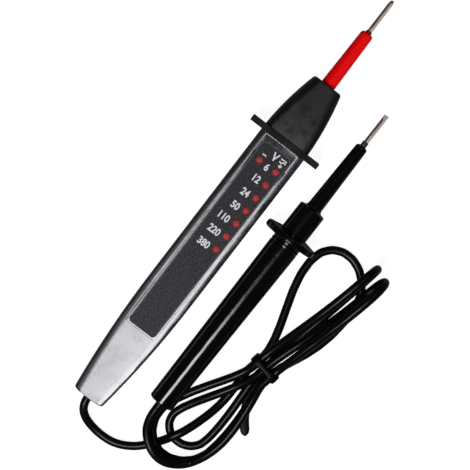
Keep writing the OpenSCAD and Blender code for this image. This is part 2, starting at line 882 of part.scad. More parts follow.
module probe_lead_stop() {
    r = tail_bore_r - fit_gap;
    l = lead_d;
    color("#8f8f8a")
    place_probe()
        turned([[lead_r + slide_gap / 2, handle_wall + slide_gap], [r, handle_wall + slide_gap],
            [r, handle_wall + l / 2], [lead_r + handle_wall, handle_wall + l],
            [lead_r + slide_gap / 2, handle_wall + l]]);
}

// Where the lead's last point lies, straight behind the probe's tail
probe_way = [sin(probe_lean) * cos(probe_tilt), cos(probe_lean) * cos(probe_tilt),
    sin(probe_tilt)];
pivot = [probe_x, probe_tail_y, probe_tail_z] - pivot_back * probe_way;
lead_gap = lead_r + slide_gap;

// The hank's own frame: along points from the tie to the far end by the probe guard
tie_place = [50.9, -12.5];
tie_angle = 11;
hank_along = [sin(tie_angle), cos(tie_angle), 0];
hank_across = [cos(tie_angle), -sin(tie_angle), 0];
up = [0, 0, 1];
hank_hold = 3;
strand_pitch = 4.05;
strand_low_z = 3;
function hank_point(along, across, z) =
    [tie_place.x, tie_place.y, z] + along * hank_along + across * hank_across;
function strand_slot(s) = [s[0] * strand_pitch, strand_low_z + s[1] * strand_pitch];

// Each loop: way from the tie, slots of its two strands in the tie, reach, lean across,
// middle height, half width, roll of its plane, share of the reach in which it opens,
// and humps over other strands as height, place round the loop and half length
HANK_LOOPS = [
    [1, [-1, 0], [1, 0], 57, -9.8, 1.8, 13.6, 180, 0.7, []],
    [-1, [1, 0], [-1, 1], 55.4, -3, 1.8, 13.5, 0, 0.8,
        [[1, 0.18, 0.13], [5.8, 0.535, 0.17], [0.7, 0.89, 0.1]]],
    [1, [-1, 1], [0, 0], 62.4, -1.1, 14.2, 8.4, 98, 0.85, []],
    [-1, [0, 0], [0, 1], 48.2, -2.6, 1.8, 9.4, 0, 1, [[2.6, 0.8, 0.16]]],
    [1, [0, 1], [1, 1], 61.2, 5, 14.2, 8.4, 267, 0.85, [[1.8, 0.2, 0.16], [1.4, 0.87, 0.1]]]
];
rings_a_loop = 24;
hank_sides = 6;

// An easing that starts softly and ends level, and a bell-shaped hump
function ease(x) = let (c = min(1, max(0, x))) pow(c, 1.5) * (2.5 - 1.5 * c);
function hump(x, at, half) = abs(x - at) < half ? (1 + cos(180 * (x - at) / half)) / 2 : 0;

// A loop is a half circle at its far end that tapers to its two slots in the tie:
// along the hank it goes out and back as a squared sine, and across it opens with the easing
function hank_loop(row, steps) = [for (k = [0:steps])
    let (
        t = 360 * k / steps,
        s = pow(sin(t / 2), 2),
        span = row[3] - hank_hold,
        open = ease(s / row[8]),
        back = (1 - s) * span / row[6],
        swell = back < 1 ? sqrt(1 - pow(1 - back, 2)) : 1,
        side = t < 180 ? 1 : -1,
        slot = strand_slot(t < 180 ? row[1] : row[2]),
        flat = abs(cos(row[7])) > 0.5,
        lean = row[4] * (flat ? s : 1),
        across = (1 - open) * slot[0] + open * (lean + side * swell * row[6] * cos(row[7])),
        lift = [for (h = row[9]) h[0] * hump(k / steps, h[1], h[2])],
        z = (1 - open) * slot[1] + open * (row[5] + side * swell * row[6] * sin(row[7]))
    )
    hank_point(row[0] * (hank_hold + span * s), across, z + total(lift))];
function total(v) = len(v) == 0 ? 0 : v * [for (x = v) 1];

// The hank's whole centre line, one unbroken run from the first slot to the last
hank_line = [for (row = HANK_LOOPS) each hank_loop(row, rings_a_loop)];

// The free stretches, as points chosen by hand, run straight through a slot of the tie
function through_tie(p) =
    [for (k = [0, 2, 3]) p - (k * hank_hold + fit_gap) * hank_along];
LEAD_FROM_TESTER = [
    [0.3, -69.2, 5.5], [1.9, -72.4, 4.7], [5.2, -74.8, 3.3], [10, -76.2, 2.2],
    [15.4, -76.6, 1.8], [20.4, -75.9, 1.8], [25, -73.9, 1.8], [29, -71, 1.9],
    [32.4, -67.2, 2.2], [35, -63.5, 3.3], [37.5, -58.9, 6], [40.2, -53.6, 6.4],
    [43.2, -45.6, 4.4], [45.2, -37.8, 2.8], [45.9, -30, 2.6]];
LEAD_TO_PROBE = [
    [54.7, -26, 7.6], [55.6, -34, 7.4], [56, -42, 6.9], [55.4, -50, 6.1], [53, -57.8, 6],
    [48.8, -64.2, 7], [43, -67.8, 9.3], [37.4, -68.3, 10.8], [31.7, -66, 11.4],
    [27.2, -61.7, 10.9], [25.4, -56.6, 10.3]];

// Points of a smooth curve through hand-chosen points, a few to each span
function spline(p, steps) =
    let (q = concat([2 * p[0] - p[1]], p, [2 * p[len(p) - 1] - p[len(p) - 2]]))
    concat([for (i = [1:len(p) - 1], j = [0:steps - 1])
        let (a = q[i - 1], b = q[i], c = q[i + 1], d = q[i + 2], u = j / steps)
        (2 * b + (c - a) * u + (2 * a - 5 * b + 4 * c - d) * u * u
            + (3 * b - a - 3 * c + d) * u * u * u) / 2], [p[len(p) - 1]]);

// Rings round a centre line, each turned as little as possible from the one before
function unit(v) = v / norm(v);
function line_way(p, i) = unit(p[min(i + 1, len(p) - 1)] - p[max(i - 1, 0)]);
function square_to(n, way) = unit(n - (n * way) * way);
function tube_rings(p, r, sides) =
    let (normals = [for (i = 0, n = square_to(up, line_way(p, 0)); i < len(p);
        i = i + 1, n = i < len(p) ? square_to(n, line_way(p, i)) : n) n])
    [for (i = [0:len(p) - 1])
        let (n = normals[i], b = cross(line_way(p, i), n))
        [for (j = [0:sides - 1]) let (a = -360 * (j + 0.5) / sides)
            p[i] + r * (cos(a) * n + sin(a) * b)]];

// The hank's least gap to itself, measured between points along its straight pieces
gap_steps = 4;
skip_steps = 16;
gap_line = [for (i = [0:len(hank_line) - 2], j = [0:gap_steps - 1])
    hank_line[i] + (hank_line[i + 1] - hank_line[i]) * j / gap_steps];
hank_gap = min([for (i = [0:len(gap_line) - 1 - skip_steps], j = [i + skip_steps:len(gap_line) - 1])
    norm(gap_line[i] - gap_line[j])]) - lead_d;
echo(hank_least_gap = hank_gap);  // lead_hank

module lead_from_tester() {
    slot = through_tie(hank_line[0]);
    color("#131315")
        loft(tube_rings(spline(concat([[0, body_tail_y - fit_gap, lead_z]], LEAD_FROM_TESTER,
            [slot[2], slot[1], slot[0]]), 2), lead_r, 8));
}

module lead_hank() {
    color("#131315")
        loft(tube_rings(hank_line, lead_r, hank_sides));
}

module lead_to_probe() {
    color("#131315")
        loft(tube_rings(spline(concat(through_tie(hank_line[len(hank_line) - 1]), LEAD_TO_PROBE,
            [pivot - [0, lead_gap + rest_gap, 0]]), 2), lead_r, 8));
}

// A flat strap round the six strands, with its loose end on the table
tie_half = strand_pitch + lead_r + fit_gap;
tie_low_z = strand_low_z - lead_r - fit_gap;
tie_top_z = strand_low_z + strand_pitch + lead_r + fit_gap;
TIE_END = [[51.8, -14, 0.6], [52.4, -18, 0.5], [53, -23, 0.5], [54.2, -29, 0.5],
    [57, -34.5, 0.5], [61.9, -40.5, 0.5]];
function strap_ring(p, i) =
    let (way = line_way(p, i), side = unit(cross(way, up)) * strap_w / 2,
        rise = up * strap_t / 2)
    [p[i] + side - rise, p[i] + side + rise, p[i] - side + rise, p[i] - side - rise];

module hank_tie() {
    corner = lead_r;
    line = spline(TIE_END, 3);
    color("#101012") {
        translate([tie_place.x, tie_place.y, 0])
            rotate([90, 0, -tie_angle])
                translate([0, 0, -strap_w / 2])
                    linear_extrude(strap_w)
                        difference() {
                            polygon(round_taper(tie_half + strap_t, tie_top_z + strap_t,
                                tie_half + strap_t, tie_low_z - strap_t, corner + strap_t));
                            polygon(round_taper(tie_half, tie_top_z, tie_half, tie_low_z,
                                corner));
                        }
        loft([for (i = [0:len(line) - 1]) strap_ring(line, i)]);
    }
}

front_cover();
rear_cover();
scale_label();
indicator_lamps();
lamp_pins();
circuit_board();
series_resistors();
rectifier_diodes();
comparator_chips();
smoothing_capacitor();
finger_guard();
nose_cap();
tester_tip_sleeve();
tester_tip_collar();
tester_tip_rod();
tip_contact();
cover_screws();
lead_clamp();
clamp_screws();
tester_lead_end();
tester_lead_core();
probe_handle();
probe_guard();
probe_barrel();
probe_neck_collar();
probe_tip_rod();
probe_ferrule();
probe_lead_end();
probe_lead_core();
probe_lead_stop();
lead_from_tester();
lead_hank();
lead_to_probe();
hank_tie();
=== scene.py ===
"""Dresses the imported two-probe voltage tester: finishes, printed scale, lead, strap and studio.

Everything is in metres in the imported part's own frame: +Y runs to the tester's tip,
+X to the second probe and Z up from the table. Sizes in the settings are real sizes.
"""

import math

import bpy
import numpy as np
from bpy.props import (
    FloatProperty,
    FloatVectorProperty,
    IntProperty,
    PointerProperty,
    StringProperty,
)
from mathutils import Matrix, Vector


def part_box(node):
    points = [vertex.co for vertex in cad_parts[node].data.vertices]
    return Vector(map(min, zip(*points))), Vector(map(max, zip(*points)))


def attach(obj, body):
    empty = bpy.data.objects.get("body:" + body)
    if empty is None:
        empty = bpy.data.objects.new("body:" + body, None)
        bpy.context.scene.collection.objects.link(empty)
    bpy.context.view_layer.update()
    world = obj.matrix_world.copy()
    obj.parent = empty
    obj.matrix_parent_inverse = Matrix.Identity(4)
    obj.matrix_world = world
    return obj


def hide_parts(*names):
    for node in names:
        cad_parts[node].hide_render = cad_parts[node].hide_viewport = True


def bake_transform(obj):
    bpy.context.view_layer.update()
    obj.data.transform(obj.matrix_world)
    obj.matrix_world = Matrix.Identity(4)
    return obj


bl_info = {
    "name": "Voltage tester looks",
    "version": (1, 0, 0),
    "blender": (4, 5, 0),
    "location": "View3D > Sidebar > Tester",
    "description": "Finishes, printed scale, lead, strap and studio of a two-probe voltage tester",
    "category": "Object",
}

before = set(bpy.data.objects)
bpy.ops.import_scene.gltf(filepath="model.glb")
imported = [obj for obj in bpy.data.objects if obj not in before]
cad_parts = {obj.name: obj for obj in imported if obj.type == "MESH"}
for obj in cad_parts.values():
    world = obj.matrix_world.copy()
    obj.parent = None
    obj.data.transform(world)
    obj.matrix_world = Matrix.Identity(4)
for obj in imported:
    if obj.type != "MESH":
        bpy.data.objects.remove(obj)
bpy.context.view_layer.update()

MM = 0.001
TESTER = "tester"
# Lengths here are in millimetres, apart from LAMP_EDGE. Half width of the label's tail
LABEL_HALF_TAIL = 6.6
# Section of the tinted edge round a lamp, as radius and height over the label
LAMP_EDGE = tuple(
    (r * MM, z * MM) for r, z in ((1.4, 0.01), (1.4, 0.03), (1.74, 0.03), (1.74, 0.01))
)
LAMP_COUNT = 8
# How far below the highest point a lamp's top counts, and how far apart its points lie
LAMP_TOP_SLICE = 0.4
LAMP_REACH = 3.3
# The label's lip: gap to the label, corner radius, its front end behind the label's, the
# length over which it rises from there, the share of the label's widening that it has at
# its front, and how far it stands over and reaches into the cover's flat top
LIP_GAP = 0.1
LIP_RADIUS = 2.0
LIP_FRONT_INSET = 6
LIP_FADE = 12
LIP_FRONT_SHARE = 0.93
LIP_OVER, LIP_INTO = 0.004, 0.02
# Half width of the cover's flat top at the fold, by the label's tail and at its front
CREASE_HALF = (7.12, 7.24, 8.0)
CREASE_ANGLE = math.radians(18.4)
SLOPE_ANGLE = math.radians(6.7)
# The light grey line along the label's edge, a painted highlight, and the bead between the covers
# and the guard
BORDER_INSET = 0.3
BORDER_RADIUS = 2.4
BORDER_WIDTH = 0.24
BEAD_RADIUS = 0.27
BEAD_END_INSET = 0.45
# Ink lies this far over the label, and is this thick
INK_OVER = 0.012
INK_THICK = 0.02
# The figures' font, in its own units: half the slab, and bolder strokes. Then its width
FONT_HALF_SLAB, FONT_BOLDER, FONT_NARROW = 0.004, 0.026, 0.84
# The tester's tip: length of its ground cone and of its round end
CONE_LENGTH = 1.7
ROUND_LENGTH = 0.25
# Edges sharper than this are bevelled and stay sharp
SHARP_ANGLE = math.radians(32)
WELD_DISTANCE = 0.002


# ---------------------------------------------------------------- colours and nodes


def linear(hex_colour):
    """The linear colour of an sRGB hex colour such as 1a1a1d, with alpha 1."""
    parts = np.array([int(hex_colour[i : i + 2], 16) for i in (0, 2, 4)]) / 255
    low, high = parts / 12.92, ((parts + 0.055) / 1.055) ** 2.4
    return (*np.where(parts <= 0.04045, low, high).tolist(), 1.0)


def add_node(tree, kind, settings=None, inputs=None):
    """Adds a node to the tree, sets its attributes, and sets or links its inputs."""
    node = tree.nodes.new(kind)
    for name, value in (settings or {}).items():
        setattr(node, name, value)
    for name, value in (inputs or {}).items():
        if isinstance(value, bpy.types.NodeSocket):
            tree.links.new(value, node.inputs[name])
        else:
            node.inputs[name].default_value = value
    return node


def new_material(name):
    """An empty material, its node tree and its output node."""
    material = bpy.data.materials.new(name)
    material.use_nodes = True
    tree = material.node_tree
    tree.nodes.clear()
    return material, tree, add_node(tree, "ShaderNodeOutputMaterial")


def per_metre(size_mm):
    """The texture scale that gives features of this size in millimetres."""
    return 1 / (size_mm * MM)


def noise(tree, place, size_mm, detail, roughness=0.5):
    """Noise whose largest features have this size in millimetres."""
    return add_node(
        tree,
        "ShaderNodeTexNoise",
        None,
        {"Vector": place, "Scale": per_metre(size_mm), "Detail": detail, "Roughness": roughness},
    ).outputs["Fac"]


def remap(tree, value, low, high, to_low=0.0, to_high=1.0):
    """Maps low to high onto to_low to to_high, and holds the ends."""
    return add_node(
        tree,
        "ShaderNodeMapRange",
        None,
        {"Value": value, "From Min": low, "From Max": high, "To Min": to_low, "To Max": to_high},
    ).outputs["Result"]


def two_tones(tree, share, hex_colour, dark, light):
    """The colour times dark where the share is 0, and times light where it is 1."""
    base = linear(hex_colour)[:3]
    low, high = ((*(min(1.0, k * c) for c in base), 1.0) for k in (dark, light))
    mix = add_node(tree, "ShaderNodeMix", {"data_type": "RGBA"}, {"Factor": share, 6: low, 7: high})
    return mix.outputs[2]


def bump(tree, height, strength, depth_mm):
    """The normal of a relief of this depth in millimetres."""
    values = {"Strength": strength, "Distance": depth_mm * MM, "Height": height}
    return add_node(tree, "ShaderNodeBump", None, values).outputs["Normal"]


def shade(tree, out, values):
    """Links a Principled shader with these values to the output. Constants sit on it."""
    shader = add_node(tree, "ShaderNodeBsdfPrincipled", None, values)
    tree.links.new(shader.outputs[0], out.inputs["Surface"])


def dress(node, material):
    """Gives a CAD node its material in every slot."""
    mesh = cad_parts[node].data
    mesh.materials.clear()
    mesh.materials.append(material)


# ---------------------------------------------------------------- meshes


def grid_mesh(name, points, material, closed_across=True, closed_along=False, caps=True):
    """A mesh from points[along, across, xyz]: quads between neighbours, with flat end caps."""
    rows, cols = points.shape[:2]
    index = np.arange(rows * cols).reshape(rows, cols)
    if closed_along:
        index = np.vstack([index, index[:1]])
    if closed_across:
        index = np.hstack([index, index[:, :1]])
    quads = np.stack([index[:-1, :-1], index[:-1, 1:], index[1:, 1:], index[1:, :-1]], axis=-1)
    faces = quads.reshape(-1, 4).tolist()
    if caps and closed_across and not closed_along:
        faces.append(index[0, :cols][::-1].tolist())
        faces.append(index[rows - 1, :cols].tolist())
    # Faces point outwards: a closed shape whose signed volume is below zero is turned round
    flat = points.reshape(-1, 3) - points.reshape(-1, 3).mean(axis=0)
    a, b, c, d = flat[quads.reshape(-1, 4)].transpose(1, 0, 2)
    if closed_across and np.sum(np.cross(c - a, d - b) * (a + b + c + d)) < 0:
        faces = [face[::-1] for face in faces]
    mesh = bpy.data.meshes.new(name)
    mesh.from_pydata(points.reshape(-1, 3).tolist(), [], faces)
    mesh.polygons.foreach_set("use_smooth", np.ones(len(mesh.polygons), bool))
    mesh.materials.append(material)
    mesh.update()
    piece = bpy.data.objects.new(name, mesh)
    bpy.context.scene.collection.objects.link(piece)
    return piece


def unit(v):
    """Vectors of length 1 along the last axis."""
    return v / np.maximum(np.linalg.norm(v, axis=-1, keepdims=True), 1e-12)


def tube(line, radius, sides):
    """Rings round a line: p + r (cos a n + sin a b), with n carried along the line untwisted."""
    way = unit(np.gradient(line, axis=0))
    normal = np.zeros_like(line)
    n = np.cross(way[0], [0.3, 0.2, 1.0])
    for i, t in enumerate(way):
        n = n - (n @ t) * t
        n = n / np.linalg.norm(n)
        normal[i] = n
    side = np.cross(way, normal)
    a = 2 * np.pi * np.arange(sides) / sides
    r = np.broadcast_to(radius, len(line))[:, None, None]
    return line[:, None] + r * (
        np.cos(a)[None, :, None] * normal[:, None] + np.sin(a)[None, :, None] * side[:, None]
    )


def even_line(points, spacing, softness):
    """The line resampled at even spacing, then averaged with a bell-shaped weight."""
    step = np.linalg.norm(np.diff(points, axis=0), axis=1)
    place = np.concatenate([[0], np.cumsum(step)])
    keep = np.concatenate([[True], step > 1e-9])
    count = int(place[-1] / spacing) + 1
    even = np.linspace(0, place[-1], count)
    line = np.stack([np.interp(even, place[keep], points[keep, k]) for k in range(3)], axis=1)
    reach = int(3 * softness / spacing)
    weight = np.exp(-0.5 * (np.arange(-reach, reach + 1) * spacing / softness) ** 2)
    head = 2 * line[0] - line[reach:0:-1]
    tail = 2 * line[-1] - line[-2 : -reach - 2 : -1]
    long = np.vstack([head, line, tail])
    return np.stack(
        [np.convolve(long[:, k], weight / weight.sum(), mode="valid") for k in range(3)], axis=1
    )


def link_to(collection, piece):
    """Adds a piece to one of the stage's lit groups, if the stage is set."""
    if collection in bpy.data.collections:
        bpy.data.collections[collection].objects.link(piece)


def smooth_by_angle():
    """The modifier's node group: smooth shading, with only the sharp edges kept sharp."""
    tree = bpy.data.node_groups.new("weld_and_smooth", "GeometryNodeTree")
    tree.interface.new_socket("Geometry", in_out="INPUT", socket_type="NodeSocketGeometry")
    tree.interface.new_socket("Geometry", in_out="OUTPUT", socket_type="NodeSocketGeometry")
    source = add_node(tree, "NodeGroupInput")
    angle = add_node(tree, "GeometryNodeInputMeshEdgeAngle")
    sharp = add_node(
        tree,
        "FunctionNodeCompare",
        {"data_type": "FLOAT", "operation": "GREATER_THAN"},
        {"A": angle.outputs["Unsigned Angle"], "B": SHARP_ANGLE},
    )
    faces = add_node(
        tree,
        "GeometryNodeSetShadeSmooth",
        {"domain": "FACE"},
        {"Geometry": source.outputs[0], "Shade Smooth": True},
    )
    edges = add_node(
        tree,
        "GeometryNodeSetShadeSmooth",
        {"domain": "EDGE"},
        {"Geometry": faces.outputs[0], "Selection": sharp.outputs[0], "Shade Smooth": False},
    )
    add_node(tree, "NodeGroupOutput", None, {0: edges.outputs[0]})
    return tree


def soften(node, edge_mm):
    """Moulded edges on a CAD node: weld, a small rounded edge, and smooth shading."""
    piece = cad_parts[node]
    weld = piece.modifiers.new("weld", "WELD")
    weld.merge_threshold = WELD_DISTANCE * MM
    if edge_mm > 0:
        bevel = piece.modifiers.new("moulded_edge", "BEVEL")
        bevel.width = edge_mm * MM
        bevel.segments = 2
        bevel.limit_method = "ANGLE"
        bevel.angle_limit = SHARP_ANGLE
        bevel.use_clamp_overlap = True
    group = bpy.data.node_groups.get("weld_and_smooth") or smooth_by_angle()
    shade = piece.modifiers.new("smooth_by_angle", "NODES")
    shade.node_group = group
    weighted = piece.modifiers.new("weighted_normal", "WEIGHTED_NORMAL")
    weighted.keep_sharp = True


# ---------------------------------------------------------------- the lead's route


def ease(x):
    """c^1.5 (2.5 - 1.5 c) with c held between 0 and 1: a soft start and a level end."""
    c = np.clip(x, 0, 1)
    return c**1.5 * (2.5 - 1.5 * c)


def hump(x, at, half):
    """(1 + cos(pi (x - at) / half)) / 2 within half of at, and 0 outside."""
    return np.where(np.abs(x - at) < half, (1 + np.cos(np.pi * (x - at) / half)) / 2, 0.0)


TIE_PLACE = np.array([50.9, -12.5])
TIE_ANGLE = math.radians(11)
HANK_ALONG = np.array([math.sin(TIE_ANGLE), math.cos(TIE_ANGLE), 0])
HANK_ACROSS = np.array([math.cos(TIE_ANGLE), -math.sin(TIE_ANGLE), 0])
HANK_HOLD = 3
STRAND_PITCH = 4.05
STRAND_LOW = 3
RINGS_A_LOOP = 24
# Way from the tie, slots in the tie, reach, lean, middle height, half width, roll,
# share of the reach in which it opens, and humps as height, place and half length
HANK_LOOPS = (
    (1, (-1, 0), (1, 0), 57, -9.8, 1.8, 13.6, 180, 0.7, ()),
    (
        *(-1, (1, 0), (-1, 1), 55.4, -3, 1.8, 13.5, 0, 0.8),
        ((1, 0.18, 0.13), (5.8, 0.535, 0.17), (0.7, 0.89, 0.1)),
    ),
    (1, (-1, 1), (0, 0), 62.4, -1.1, 14.2, 8.4, 98, 0.85, ()),
    (-1, (0, 0), (0, 1), 48.2, -2.6, 1.8, 9.4, 0, 1, ((2.6, 0.8, 0.16),)),
    (1, (0, 1), (1, 1), 61.2, 5, 14.2, 8.4, 267, 0.85, ((1.8, 0.2, 0.16), (1.4, 0.87, 0.1))),
)
# Points of the free stretches, in millimetres
LEAD_FROM_TESTER = (
    *((0.3, -69.2, 5.5), (1.9, -72.4, 4.7), (5.2, -74.8, 3.3), (10, -76.2, 2.2)),
    *((15.4, -76.6, 1.8), (20.4, -75.9, 1.8), (25, -73.9, 1.8), (29, -71, 1.9)),
    *((32.4, -67.2, 2.2), (35, -63.5, 3.3), (37.5, -58.9, 6), (40.2, -53.6, 6.4)),
    *((43.2, -45.6, 4.4), (45.2, -37.8, 2.8), (45.9, -30, 2.6)),
)
LEAD_TO_PROBE = (
    *((54.7, -26, 7.6), (55.6, -34, 7.4), (56, -42, 6.9), (55.4, -50, 6.1), (53, -57.8, 6)),
    *((48.8, -64.2, 7), (43, -67.8, 9.3), (37.4, -68.3, 10.8), (31.7, -66, 11.4)),
    *((27.2, -61.7, 10.9), (25.4, -56.6, 10.3)),
)
TIE_END = (
    *((51.8, -14, 0.6), (52.4, -18, 0.5), (53, -23, 0.5), (54.2, -29, 0.5)),
    *((57, -34.5, 0.5), (61.9, -40.5, 0.5)),
)
LEAD_START = np.array([0, -66.2, 5.5])
PROBE_PIVOT = np.array([25.1827, -51.5996, 10.2593])
# From here on the lead is a separate piece, which runs to the probe
TURNS_TO_PROBE = np.array([49.8, -63, 6.8])
LEAD_SPACING = 0.75
LEAD_SOFTNESS = 1.1
# Gap between the strap and the strands
TIE_CLEARANCE = 0.2
# Share of its width that the strap loses on top, and of its thickness that a bead adds
STRAP_WAIST, STRAP_BEAD = 0.45, 1.1


def hank_loop(loop):
    """One loop's centre line, by the part's formula: out and back as sin^2(t/2) along the
    hank, and across as a half circle at the far end that eases into its two slots."""
    way, slot_in, slot_out, reach, lean, mid, half, roll, opening, humps = loop
    k = np.arange(RINGS_A_LOOP + 1) / RINGS_A_LOOP
    t = 2 * np.pi * k
    s = np.sin(t / 2) ** 2
    first = k < 0.5
    span = reach - HANK_HOLD
    opened = ease(s / opening)
    back = (1 - s) * span / half
    swell = np.where(back < 1, np.sqrt(np.clip(1 - (1 - back) ** 2, 0, None)), 1.0)
    side = np.where(first, 1.0, -1.0)
    cos_roll, sin_roll = math.cos(math.radians(roll)), math.sin(math.radians(roll))
    leaned = lean * (s if abs(cos_roll) > 0.5 else np.ones_like(s))
    slot_x = np.where(first, slot_in[0], slot_out[0]) * STRAND_PITCH
    slot_z = STRAND_LOW + np.where(first, slot_in[1], slot_out[1]) * STRAND_PITCH
    across = (1 - opened) * slot_x + opened * (leaned + side * swell * half * cos_roll)
    z = (1 - opened) * slot_z + opened * (mid + side * swell * half * sin_roll)
    z = z + sum((h[0] * hump(k, h[1], h[2]) for h in humps), np.zeros_like(k))
    along = way * (HANK_HOLD + span * s)
    flat = np.array([TIE_PLACE[0], TIE_PLACE[1], 0])
    up = np.stack([0 * z, 0 * z, z], axis=1)
    return flat + along[:, None] * HANK_ALONG + across[:, None] * HANK_ACROSS + up


def spline(points, steps):
    """Catmull-Rom through the points: (2b + (c-a)u + (2a-5b+4c-d)u^2 + (3b-a-3c+d)u^3) / 2."""
    p = np.array(points, float)
    q = np.vstack([2 * p[0] - p[1], p, 2 * p[-1] - p[-2]])
    a, b, c, d = (q[i : len(p) - 1 + i, None] for i in range(4))
    u = (np.arange(steps) / steps)[None, :, None]
    curve = (
        2 * b + (c - a) * u + (2 * a - 5 * b + 4 * c - d) * u**2 + (3 * b - a - 3 * c + d) * u**3
    ) / 2
    return np.vstack([curve.reshape(-1, 3), p[-1:]])


def through_tie(p):
    """Three points straight through a slot of the tie, ending or starting at p."""
    return [p - k * HANK_HOLD * HANK_ALONG for k in (0, 2, 3)]


def lead_route():
    """The lead's whole centre line in millimetres, from the housing to the probe."""
    hank = np.vstack([hank_loop(loop) for loop in HANK_LOOPS])
    first = [*LEAD_FROM_TESTER, *through_tie(hank[0])[::-1]]
    last = [*through_tie(hank[-1]), *LEAD_TO_PROBE, PROBE_PIVOT]
    return np.vstack([spline([LEAD_START, *first], 6), hank, spline(last, 6)])


# ---------------------------------------------------------------- settings


class TesterFinishSettings(bpy.types.PropertyGroup):
    """Colours and edges of the housings."""

    housing_hex: StringProperty(name="Housing", default="0d0d0f", description="Moulded ABS")
    label_hex: StringProperty(name="Label", default="18181d", description="Printed foil")
    sleeve_hex: StringProperty(name="Sleeve", default="fa0409", description="Insulating sleeve")
    lamp_hex: StringProperty(name="Lamps", default="c04446", description="Diffused epoxy")
    steel_hex: StringProperty(name="Tips", default="cbbfb0", description="Ground steel")
    edge_mm: FloatProperty(
        name="Moulded edge", default=0.3, min=0, max=0.5, description="Edge rounding in mm"
    )


class TesterPrintSettings(bpy.types.PropertyGroup):
    """The printed scale."""

    ink_hex: StringProperty(name="Ink", default="ffffff", description="Screen-printed ink")
    figure_height: FloatProperty(
        name="Figure height",
        default=3.25 * MM,
        min=2 * MM,
        max=4 * MM,
        unit="LENGTH",
        description="Height of the printed figures",
    )
    stroke: FloatProperty(
        name="Sign stroke",
        default=0.6 * MM,
        min=0.3 * MM,
        max=0.8 * MM,
        unit="LENGTH",
        description="Width of the signs' strokes",
    )


class TesterLeadSettings(bpy.types.PropertyGroup):
    """The lead and the strap that ties it."""

    diameter: FloatProperty(
        name="Lead diameter",
        default=3.6 * MM,
        min=3.4 * MM,
        max=3.6 * MM,
        unit="LENGTH",
        description="Outer diameter of the lead",
    )
    sides: IntProperty(name="Sides", default=20, min=12, max=32, description="Sides of the tube")
    strap_width: FloatProperty(
        name="Strap width",
        default=4.0 * MM,
        min=3.6 * MM,
        max=4.4 * MM,
        unit="LENGTH",
        description="Width of the strap",
    )
    strap_thickness: FloatProperty(
        name="Strap thickness",
        default=0.8 * MM,
        min=0.6 * MM,
        max=0.85 * MM,
        unit="LENGTH",
        description="Thickness of the strap",
    )


class TesterStageSettings(bpy.types.PropertyGroup):
    """Camera and studio."""

    target: FloatVectorProperty(
        name="Target",
        default=(7.3 * MM, 23.9 * MM, 6 * MM),
        subtype="TRANSLATION",
        description="What the camera looks at",
    )
    view_width: FloatProperty(
        name="View width",
        default=193.4 * MM,
        unit="LENGTH",
        description="Width that the view covers at the target",
    )
    distance: FloatProperty(
        name="Camera distance", default=0.9, unit="LENGTH", description="Camera to target"
    )
    tilt_to_left: FloatProperty(
        name="Tilt to the left", default=math.radians(1.6), subtype="ANGLE", description="From -X"
    )
    tilt_to_tip: FloatProperty(
        name="Tilt to the tip", default=math.radians(4), subtype="ANGLE", description="From +Y"
    )


# ---------------------------------------------------------------- materials


def moulded_abs(name, hex_colour, roughness, grain_mm, wear=0.5):
    """Gloss ABS from a spark-eroded mould: deep black with a fine grain that softens the
    highlights, and faint handling marks that change the gloss a little."""
    material, tree, out = new_material(name)
    place = add_node(tree, "ShaderNodeTexCoord").outputs["Object"]
    grain = noise(tree, place, grain_mm, 4.0, 0.6)
    # Handling marks and soft clouds, up to 7 mm across
    marks = noise(tree, place, 7, 6.0, 0.68)
    bright, dull = roughness * (1 - 0.6 * wear), roughness * (1 + 1.2 * wear)
    values = {
        "Base Color": two_tones(tree, grain, hex_colour, 1, 1.35),
        "Roughness": remap(tree, marks, 0.3, 0.75, bright, dull),
        "IOR": 1.54,
        "Normal": bump(tree, grain, 0.25, 0.02),
    }
    shade(tree, out, values)
    return material


def printed_foil(hex_colour):
    """Polyester foil printed dark grey on its back: an even satin face with the fine
    speckle of its matting layer."""
    material, tree, out = new_material("polyester_foil_printed_grey")
    place = add_node(tree, "ShaderNodeTexCoord").outputs["Object"]
    # Matting grains are about 0.05 mm and are drawn at 0.6 mm to show
    speckle = noise(tree, place, 0.6, 2.0, 0.7)
    values = {
        "Base Color": two_tones(tree, remap(tree, speckle, 0.42, 0.64), hex_colour, 0.3, 4.6),
        "Roughness": 0.5,
        "Specular IOR Level": 0.19,
        "IOR": 1.55,
        "Normal": bump(tree, speckle, 0.25, 0.01),
    }
    shade(tree, out, values)
    return material


def plain_moulding(name, hex_colour, roughness, ior=1.5, size_mm=1.2, depth_mm=0.01, **sockets):
    """A moulded, lacquered or printed surface: one colour, with a slight unevenness of
    tone and a shallow ripple at the given size. Constant values sit on the shader."""
    material, tree, out = new_material(name)
    place = add_node(tree, "ShaderNodeTexCoord").outputs["Object"]
    ripple = noise(tree, place, size_mm, 3.0, 0.55)
    values = {
        "Base Color": two_tones(tree, ripple, hex_colour, 0.86, 1.14),
        "Roughness": roughness,
        "IOR": ior,
        "Normal": bump(tree, ripple, 0.3, depth_mm),
    }
    values.update({key.replace("_", " "): value for key, value in sockets.items()})
    shade(tree, out, values)
    return material


def worked_metal(name, hex_colour, roughness, stretch, line_mm):
    """Drawn, turned or plated metal: fine tool lines as noise stretched along the work,
    which break the highlight, and a gloss that varies with them."""
    material, tree, out = new_material(name)
    place = add_node(tree, "ShaderNodeTexCoord").outputs["Object"]
    along = add_node(tree, "ShaderNodeMapping", None, {"Vector": place, "Scale": stretch})
    # Tool lines are about 0.02 mm apart and are drawn coarser to show
    lines = noise(tree, along.outputs[0], line_mm, 3.0)
    values = {
        "Base Color": linear(hex_colour),
        "Metallic": 1.0,
        "Roughness": remap(tree, lines, 0.3, 0.7, 0.75 * roughness, 1.3 * roughness),
        "Normal": bump(tree, lines, 0.3, 0.008),
    }
    shade(tree, out, values)
    return material


# ---------------------------------------------------------------- operators


